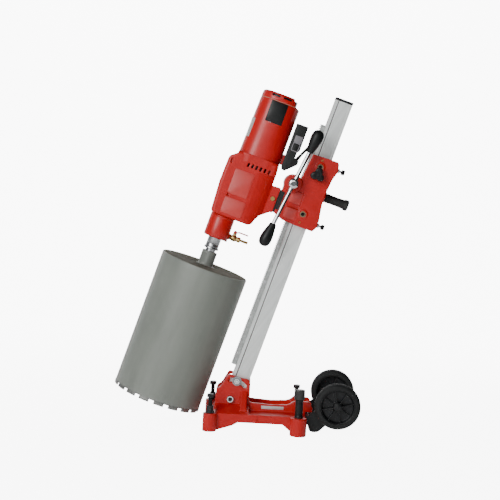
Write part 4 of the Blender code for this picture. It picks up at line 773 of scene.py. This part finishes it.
def add_motor():
    """The housing with its covers, the end cap with its slots, and what is inside."""
    def rows(levels):
        made = []
        for z, inset in levels:
            front = -0.263 + 0.005 * (z - 0.7983) / 0.1887 + inset
            back = -0.12 - inset
            ring = motor_ring((back - front) / 2, 0.0655 - inset, (back + front) / 2)
            made.append([(x, y, z) for x, y in ring])
        return made

    body = loft(rows([(0.7984, 0.0), (0.86, 0.0), (0.92, 0.0), (0.9915, 0.0), (0.9929, 0.0004),
                      (0.9937, 0.0012)]))
    core = motor_ring(0.069, 0.065, MOTOR_X)
    hollow = stack(core, ((0.93, 0.79), (0.93, 0.999)), ARMATURE_X)
    step = prism([(-0.137, 0.996), (-0.115, 0.987), (-0.11, 1.03), (-0.149, 1.03),
                  (-0.149, 1.0215)], -0.1, 0.1)
    windows = [block((-0.218, low, 0.9195), (-0.16, high, 0.9922))
               for low, high in ((-0.072, -0.056), (0.056, 0.072))]
    piece("motor_body", body, "red_gloss", "carriage", ["motor_housing"],
          cuts=[hollow, step, *windows], sharp=40)

    cap = loft(rows([(0.9946, 0.001), (0.9953, 0.0003), (0.9962, 0.0), (1.012, 0.0004),
                     (1.0165, 0.0018), (1.019, 0.0044), (1.0204, 0.008), (1.021, 0.013)]))
    slots = [prism(rounded(0.0145, 0.0036, 0.003, (x, 1.0105)), low, high) for x in (-0.21, -0.1695)
             for low, high in ((-0.08, -0.05), (0.05, 0.08))]
    # Painted shade: a black ring inside the end cap, so its slots show dark.
    baffle = stack(core, ((0.8, 0.988), (0.82, 0.989), (0.82, 1.013), (0.8, 1.014)), MOTOR_X)
    shaft_room = rod(0.03, 1.1, 0.9, 40, "Z", (ARMATURE_X, 0.0, 0.0))
    piece("cap_slot_shade", baffle, "black_plastic", cuts=[shaft_room])
    # Painted highlight: a light beige band in the seam stands in for the light caught on the cap's
    # lip.
    highlight_gasket = loft(rows([(0.9934, 0.003), (0.9934, 0.0003), (0.9949, 0.0003), (0.9949, 0.003)]))
    piece("cap_highlight_gasket", highlight_gasket, "highlight_gasket", cuts=[step])
    for side, label in SIDES:
        curve = sorted((x, y) for x, y in motor_ring(0.0718, 0.0663, -0.1899)
                       if -0.2612 < x < -0.25 and y * side > 0)
        outline = curve + [(x + 0.003, y - side * 0.001) for x, y in curve[::-1]]
        piece(f"blank_plate_{label}", prism(outline, 0.851, 0.917, "plan"), "label_silver")
    inside = stack(core, ((0.88, 0.98), (0.88, 1.015)), MOTOR_X)
    piece("motor_cap", cap, "red_gloss", "carriage", ["motor_end_cap"], cuts=[step, *slots, inside],
          bevel=(0.0006, 2), sharp=40)

    for side, name in SIDES:
        across = [-0.2177 + 0.0574 * k / 14 for k in range(15)]
        curve = [(x, side * 0.0666 * (1 - abs((x - MOTOR_X) / 0.07) ** SQUARENESS)
                  ** (1 / SQUARENESS)) for x in across]
        outline = curve + [(x, y - side * 0.005) for x, y in curve[::-1]]
        piece(f"brush_cover_{name}_fine", prism(outline, 0.92, 0.9917, "plan"), "black_plastic",
              "carriage", [f"brush_cover_{name}"], bevel=(0.0007, 2))
        for k, x in enumerate((-0.2125, -0.166)):
            screw = lathe([(0.001, 0.0646), (0.0014, 0.0654), (0.0022, 0.0654), (0.0025, 0.065),
                           (0.0025, 0.06)], 20, "-Y" if side < 0 else "Y", (x, 0.0, 0.925))
            piece(f"cover_screw_{name}_{k + 1}", screw, "black_steel")
    dress("stator", "steel")
    dress("armature", "copper")


def add_gearbox():
    """The gear case with its shoulder, panel, vents and mounting arm, and the nose."""
    case = node_mesh("gearbox_housing", MAST)
    fill = prism([(-0.192, 0.575), (-0.151, 0.575), (-0.133, 0.608), (-0.122, 0.63), (-0.122, 0.79),
                  (-0.192, 0.79)], -0.06, -0.018)
    wedge = prism([(-0.185, -0.075), (-0.105, -0.075), (-0.105, -0.038), (-0.118, -0.038),
                   (-0.125, -0.0443), (-0.135, -0.0515), (-0.145, -0.0565), (-0.155, -0.06),
                   (-0.17, -0.0632), (-0.185, -0.0642)], 0.56, 0.753, "plan")
    brow = prism([(-0.3, 0.759), (-0.2871, 0.7697), (-0.2636, 0.7886), (-0.2636, 0.81),
                  (-0.3, 0.81)], -0.1, 0.1)
    cylinder = stack(motor_ring(0.0717, 0.0657, -0.1913), ((1.0, 0.756), (1.0, 0.7978)))
    elbow = lathe([(0.018, 0.056), (0.02, 0.054), (0.02, -0.054), (0.018, -0.056)], 40, "Y",
                  (-0.156, 0.0, 0.5925))
    notches = [prism(rounded(0.004, 0.0085, 0.002, (x, z)), -0.07, -0.0575)
               for x, z in ((-0.2738, 0.7585), (-0.2465, 0.6505))]
    seam = block((-0.295, -0.07, 0.644), (-0.185, -0.0628, 0.6465))
    room = stack(motor_ring(0.068, 0.064, ARMATURE_X), ((0.86, 0.75), (0.86, 0.81)), ARMATURE_X)
    vents = []
    for k in range(6):
        x = -0.217 + 0.0146 * k
        slot = [(x - 0.004, 0.756), (x + 0.0024, 0.754), (x + 0.0044, 0.768), (x - 0.002, 0.77)]
        vents += [prism(slot, -0.075, -0.048), prism(slot, 0.048, 0.075)]
    piece("gearbox_fine", case, "red_cast", "carriage", ["gearbox_housing"],
          unions=[cylinder, fill, elbow], cuts=[room, wedge, brow, *notches, seam, *vents],
          voxel=0.0013, rounds=3, sharp=180)
    rim = motor_ring(0.0717, 0.0657, ARMATURE_X)
    collar = stack(rim, ((1.0, 0.7712), (1.0, 0.7983)))
    bore = stack(rim, ((0.95, 0.76), (0.95, 0.81)), ARMATURE_X)
    piece("case_collar", collar, "red_gloss", cuts=[bore], sharp=40)
    # Painted shade: a near-black ring inside the case, so the vents show a dark inside.
    shield = lathe([(0.055, 0.774), (0.055, 0.75), (0.03, 0.75), (0.03, 0.774)], 56, "Z",
                   (ARMATURE_X, 0.0, 0.0), True)
    piece("vent_shade_ring", shield, "shade_black")
    # Painted sheen: raised pads in a lighter red stand in for the sheen on the case's flat faces.
    for name, half_x, half_z, centre in (("upper", 0.034, 0.043, (-0.2182, 0.695)),
                                         ("lower", 0.037, 0.0275, (-0.2165, 0.6115))):
        pad = prism(rounded(half_x, half_z, 0.006, centre), -0.065, -0.063)
        piece(f"case_pad_{name}", pad, "red_satin_painted_sheen", bevel=(0.0007, 2))

    dress("motor_mount_bolt", "brass", (0.0004, 2))
    dress("motor_mount_plate", "black_steel", (0.0005, 2))
    nose = lathe([(0.0405, 0.5718), (0.0418, 0.57), (0.042, 0.566), (0.0414, 0.5645),
                  (0.042, 0.563), (0.042, 0.499), (0.0414, 0.4955), (0.0395, 0.4936),
                  (0.037, 0.493), (0.0262, 0.493), (0.026, 0.494), (0.026, 0.51)], 96, "Z",
                 (SPINDLE_X, 0.0, 0.0), bore=0.03)
    lug = prism(rounded(0.0045, 0.005, 0.002, (-0.2005, 0.496)), -0.006, 0.006)
    boss = lathe([(0.0105, 0.044), (0.0118, 0.042), (0.012, 0.036)], 32, "X",
                 (SPINDLE_X, 0.0, 0.512))
    bore = rod(0.0073, 0.06, 0.02, 32, "X", (SPINDLE_X, 0.0, 0.512))
    piece("nose_fine", nose, "red_gloss", "carriage", ["spindle_nose"], unions=[lug, boss],
          cuts=[bore], sharp=40)
    dress("spindle_bearing", "steel")
    dress("idler_gear_shaft", "steel", (0.0005, 2))


def add_bit():
    """The spindle, the barrel with its hub, and the cutting segments."""
    at = MAST @ Matrix.Translation((SPINDLE_X, 0.0, 0.0))
    spindle = [(0.005, 0.665), (0.0094, 0.665), (0.01, 0.6642), (0.01, 0.62), (0.0368, 0.62),
               (0.0375, 0.6192), (0.0375, 0.6028), (0.0368, 0.602), (0.014, 0.602), (0.014, 0.505),
               (0.0218, 0.505), (0.0225, 0.5042), (0.0225, 0.471), (0.0221, 0.4704),
               (0.0221, 0.4692), (0.0225, 0.4686), (0.0225, 0.4596), (0.0232, 0.459),
               (0.0244, 0.4588), (0.025, 0.458), (0.025, 0.4528), (0.0243, 0.452), (0.017, 0.452),
               (0.017, 0.4433), (0.005, 0.4433)]
    piece("spindle_fine", lathe(spindle, 72, closed=True), "steel", "spindle", ["drill_spindle"],
          at, sharp=40)

    barrel = [(0.006, 0.443), (0.025, 0.443), (0.026, 0.442), (0.026, 0.3985), (0.0266, 0.3962),
              (0.0282, 0.3944), (0.031, 0.3932), (0.04, 0.393), (0.145, 0.393), (0.149, 0.3926),
              (0.1506, 0.3914), (0.151, 0.389)]
    barrel += [(0.151, 0.389 - 0.461 * k / 24) for k in range(1, 25)]
    barrel += [(0.1504, -0.0724), (0.1474, -0.0724), (0.147, -0.0715), (0.147, 0.385),
               (0.006, 0.385)]
    turn = Matrix.Rotation(radians(60), 4, "Z")
    flats = [moved(block((low, -0.05, 0.404), (high, 0.05, 0.434)), turn)
             for low, high in ((-0.05, -0.0222), (0.0222, 0.05))]
    piece("barrel_fine", lathe(barrel, 160, closed=True), "bit_grey", "spindle",
          ["core_bit_barrel"], at, cuts=flats, sharp=40)

    # Painted shade: a thin dark disc laid on the barrel's top, darker than the barrel itself.
    cover = lathe([(0.0318, 0.3929), (0.1478, 0.3929), (0.148, 0.3933), (0.145, 0.3936),
                   (0.033, 0.3936)], 120, closed=True)
    piece("barrel_top_shade", cover, "bit_top_shade", "spindle", at=at)

    ring, segments = [], 18
    gap = 0.018 / 0.151
    for k in range(segments):
        first = 2 * pi * (k + 0.315) / segments + gap / 2
        span = 2 * pi / segments - gap
        arc = [first + span * i / 8 for i in range(9)]
        tooth = [(0.152 * cos(a), 0.152 * sin(a)) for a in arc]
        tooth += [(0.146 * cos(a), 0.146 * sin(a)) for a in arc[::-1]]
        ring.append(prism(tooth, -0.085, -0.0747, "plan"))
    collar = lathe([(0.1514, -0.0722), (0.1514, -0.0748), (0.1466, -0.0748), (0.1466, -0.0722)],
                   160, closed=True)
    piece("segments_fine", merged(*ring, collar), "bit_metal", "spindle", ["core_bit_segments"], at,
          bevel=(0.0006, 2))


def add_valve():
    """The brass water valve with its hexagon, ball body and barbed tail, and its lever."""
    at = MAST @ Matrix.Translation((0.0, 0.0, 0.512))
    barbs = []
    for k in range(4):
        x = -0.1275 - 0.0055 * k
        barbs += [(0.0042, x), (0.0056, x - 0.0042), (0.0043, x - 0.0045)]
    body = [(0.0, -0.1275), *barbs, (0.0043, -0.154), (0.0075, -0.1545), (0.0088, -0.156),
            (0.0088, -0.166), (0.0078, -0.168), (0.0098, -0.171), (0.011, -0.1755),
            (0.0112, -0.179), (0.0108, -0.183), (0.0094, -0.1865), (0.0078, -0.1885),
            (0.008, -0.1925), (0.0068, -0.194), (0.0068, -0.2005), (0.0, -0.2005)]
    hexes = [hexagon(0.0165, -0.1655, -0.157, "X", (0, 0, 0), 0.2),
             hexagon(0.0185, -0.195, -0.189, "X", (0, 0, 0), 0.5)]
    stem = lathe([(0.006, 0.0168), (0.0066, 0.016), (0.0066, 0.0)], 28, "Z", (-0.179, 0.0, 0.0))
    piece("valve_body", merged(lathe(body, 40, "X"), *hexes, stem), "brass", "carriage",
          ["water_valve"], at, sharp=30)
    at = at @ Matrix.Translation((-0.179, 0.0, 0.0))
    foot = 0.0172
    line = [(-0.0055, foot + 0.0022), (0.0085, foot + 0.0022), (0.0118, foot + 0.0048),
            (0.044, foot + 0.0044), (0.0455, foot + 0.0068), (0.044, foot + 0.009),
            (0.0112, foot + 0.009), (0.0076, foot + 0.0062), (-0.0055, foot + 0.0062)]
    piece("valve_handle", prism(line, -0.0055, 0.0055), "red_gloss", "valve_lever",
          ["water_valve_lever"], at, unions=[rod(0.006, foot + 0.0056, foot, 32)], bevel=(0.001, 3))
    piece("valve_handle_nut", hexagon(0.007, foot + 0.005, foot + 0.0088, "Z", (0, 0, 0), 0.3),
          "steel", "valve_lever", at=at)


# --- The controls ---
def add_controls():
    """The control box with its switch plate, its bracket and its screws."""
    outline = [(-0.112, 0.949), (-0.112, 0.797), (-0.108, 0.787), (-0.098, 0.785), (-0.079, 0.803),
               (-0.064, 0.818), (-0.064, 0.8304), (-0.079, 0.8366), (-0.079, 0.856),
               (-0.0725, 0.864), (-0.0725, 0.949)]
    lid = prism([(-0.11, 0.947), (-0.11, 0.805), (-0.102, 0.793), (-0.081, 0.812), (-0.081, 0.856),
                 (-0.0745, 0.865), (-0.0745, 0.947)], -0.0372, -0.035)
    cut = block((-0.1005, -0.05, 0.8585), (-0.0795, -0.0252, 0.8855))
    piece("control_box_fine", prism(outline, -0.036, 0.036), "box_plastic", "carriage",
          ["control_box"], unions=[lid], cuts=[cut], bevel=(0.0018, 3))
    dress("control_box_bracket", "red_gloss", (0.0015, 2))

    plate = prism(rounded(0.0135, 0.012, 0.003, (-0.0895, 0.899)), -0.0384, -0.0368)
    piece("control_plate", plate, "panel_grey", bevel=(0.0004, 2))
    frame_out = prism(rounded(0.013, 0.0152, 0.004, (-0.09, 0.872)), -0.0392, -0.0366)
    frame_in = prism(rounded(0.0098, 0.012, 0.0022, (-0.09, 0.872)), -0.045, -0.03)
    piece("switch_frame", frame_out, "panel_grey", cuts=[frame_in], bevel=(0.0005, 2))
    axis = MAST @ Matrix.Translation((-0.09, -0.033, 0.872))
    paddle = [(0.0035, -0.0112), (-0.0046, -0.0112), (-0.0044, -0.008), (-0.0028, 0.0),
              (-0.0052, 0.008), (-0.0062, 0.0112), (0.0035, 0.0112)]
    piece("rocker_fine", prism(paddle, -0.009, 0.009, "front"), "black_plastic", "rocker",
          ["power_switch"], axis, bevel=(0.0006, 2))


# --- The mains cord ---
def add_cord():
    """The lead from the control box to its coil on the hook, and the tail with the plug."""
    route = smooth_line([
        (-0.0621, 0.0, 0.8563), (-0.058, 0.001, 0.8655), (-0.0525, 0.006, 0.877),
        (-0.0475, 0.016, 0.8885), (-0.043, 0.03, 0.8975), (-0.035, 0.045, 0.903),
        (-0.021, 0.057, 0.901), (-0.004, 0.065, 0.892), (0.013, 0.0705, 0.877),
        (0.028, 0.0745, 0.857), (0.04, 0.076, 0.832), (0.0485, 0.076, 0.803),
        (0.0553, 0.076, 0.772), (0.0578, 0.076, 0.74)], 4)
    centre = Vector((-0.008, 0.0, 0.728))

    def spot(angle, radius, y):
        return centre + Vector((radius * cos(angle), y, radius * sin(angle)))

    def ease(t):
        t = min(1.0, max(0.0, t))
        return t * t * (3 - 2 * t)

    # The coil's lanes, as (radius, y): each turn eases over to the next in its first fifth.
    inner, tail_y = 0.047, 0.096
    lanes = [(0.0669, 0.076), (0.0566, 0.0664), (0.0566, 0.076), (0.0566, 0.0856), (0.047, 0.0856),
             (0.047, 0.076), (0.047, 0.0664), (0.0374, 0.0664), (0.0374, 0.076), (0.0374, 0.0856)]
    first = atan2(0.74 - 0.728, 0.0578 + 0.008)
    tail_start = TILT + radians(55) - 9 * 2 * pi
    line, step = list(route[:-1]), radians(10)
    count = int((first - tail_start) / step)
    for k in range(count + 1):
        angle = first + (tail_start - first) * k / count
        turns = (first - angle) / (2 * pi)
        lane = min(int(turns), len(lanes) - 2)
        (r0, y0), (r1, y1) = lanes[lane], lanes[lane + 1]
        t = ease((turns - lane) * 5)
        radius, y = r0 + (r1 - r0) * t, y0 + (y1 - y0) * t
        climb = ease(1 - (angle - tail_start) / radians(34))
        line.append(spot(angle, radius + (inner - radius) * climb, y + (tail_y - y) * climb))
    for k in range(1, 9):
        angle = tail_start - radians(55) * k / 8
        rise = (1 - cos(pi * k / 8)) / 2
        line.append(spot(angle, inner, tail_y + 0.0143 * rise))

    curve = bpy.data.curves.new("mains_cord", "CURVE")
    curve.dimensions, curve.bevel_depth, curve.bevel_resolution = "3D", 0.0048, 4
    curve.use_fill_caps = True
    spline = curve.splines.new("POLY")
    spline.points.add(len(line) - 1)
    for point, place in zip(spline.points, line):
        point.co = (*place, 1.0)
    spline.use_smooth = True
    curve.materials.append(looks["cord"])
    cord = linked("mains_cord", curve)
    cord.matrix_world = MAST
    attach(cord, "carriage")
    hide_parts("mains_cord_lead", "mains_cord_coil", "mains_cord_tail")

    ribs = [(0.0, 0.024), (0.0046, 0.024)]
    for k in range(6):
        z = 0.0232 - 0.0034 * k
        ribs += [(0.0052 + 0.0002 * k, z), (0.0052 + 0.0002 * k, z - 0.0018),
                 (0.0045 + 0.0002 * k, z - 0.002), (0.0045 + 0.0002 * k, z - 0.0032)]
    ribs += [(0.0066, 0.0022), (0.0068, 0.0008), (0.0, 0.0008)]
    piece("strain_relief", lathe(ribs, 32, (0.382, 0.0, 0.924), (-0.0715, 0.0, 0.8335)), "rubber",
          "carriage", ["cord_relief"])
    dress("cord_hook", "steel", (0.0004, 2))

    up = Vector((-sin(TILT), 0.0, cos(TILT)))
    shell = [(0.0, 0.0), (0.0052, 0.0), (0.0058, -0.002), (0.0053, -0.003), (0.0053, -0.0044),
             (0.0062, -0.0052), (0.0066, -0.007), (0.006, -0.008), (0.006, -0.0094),
             (0.0072, -0.0104), (0.0078, -0.0125), (0.011, -0.016), (0.015, -0.019),
             (0.0168, -0.0212), (0.0175, -0.024), (0.0175, -0.037), (0.017, -0.0376),
             (0.017, -0.0384), (0.0175, -0.039), (0.0175, -0.0422), (0.0165, -0.044),
             (0.015, -0.044), (0.0148, -0.042), (0.0, -0.042)]
    end = line[-1] - up * 0.0012
    plug = piece("plug_body", lathe(shell, 40, tuple(up), end), "rubber", "carriage",
                 ["mains_plug"], sharp=40)


# --- Everything ---
looks = make_looks()
add_camera()
add_cord()
add_studio()
add_base()
add_tilt_bolts()
add_wheels()
add_mast()
add_carriage()
add_feed_lever()
add_clamps()
add_motor()
add_gearbox()
add_bit()
add_valve()
add_controls()
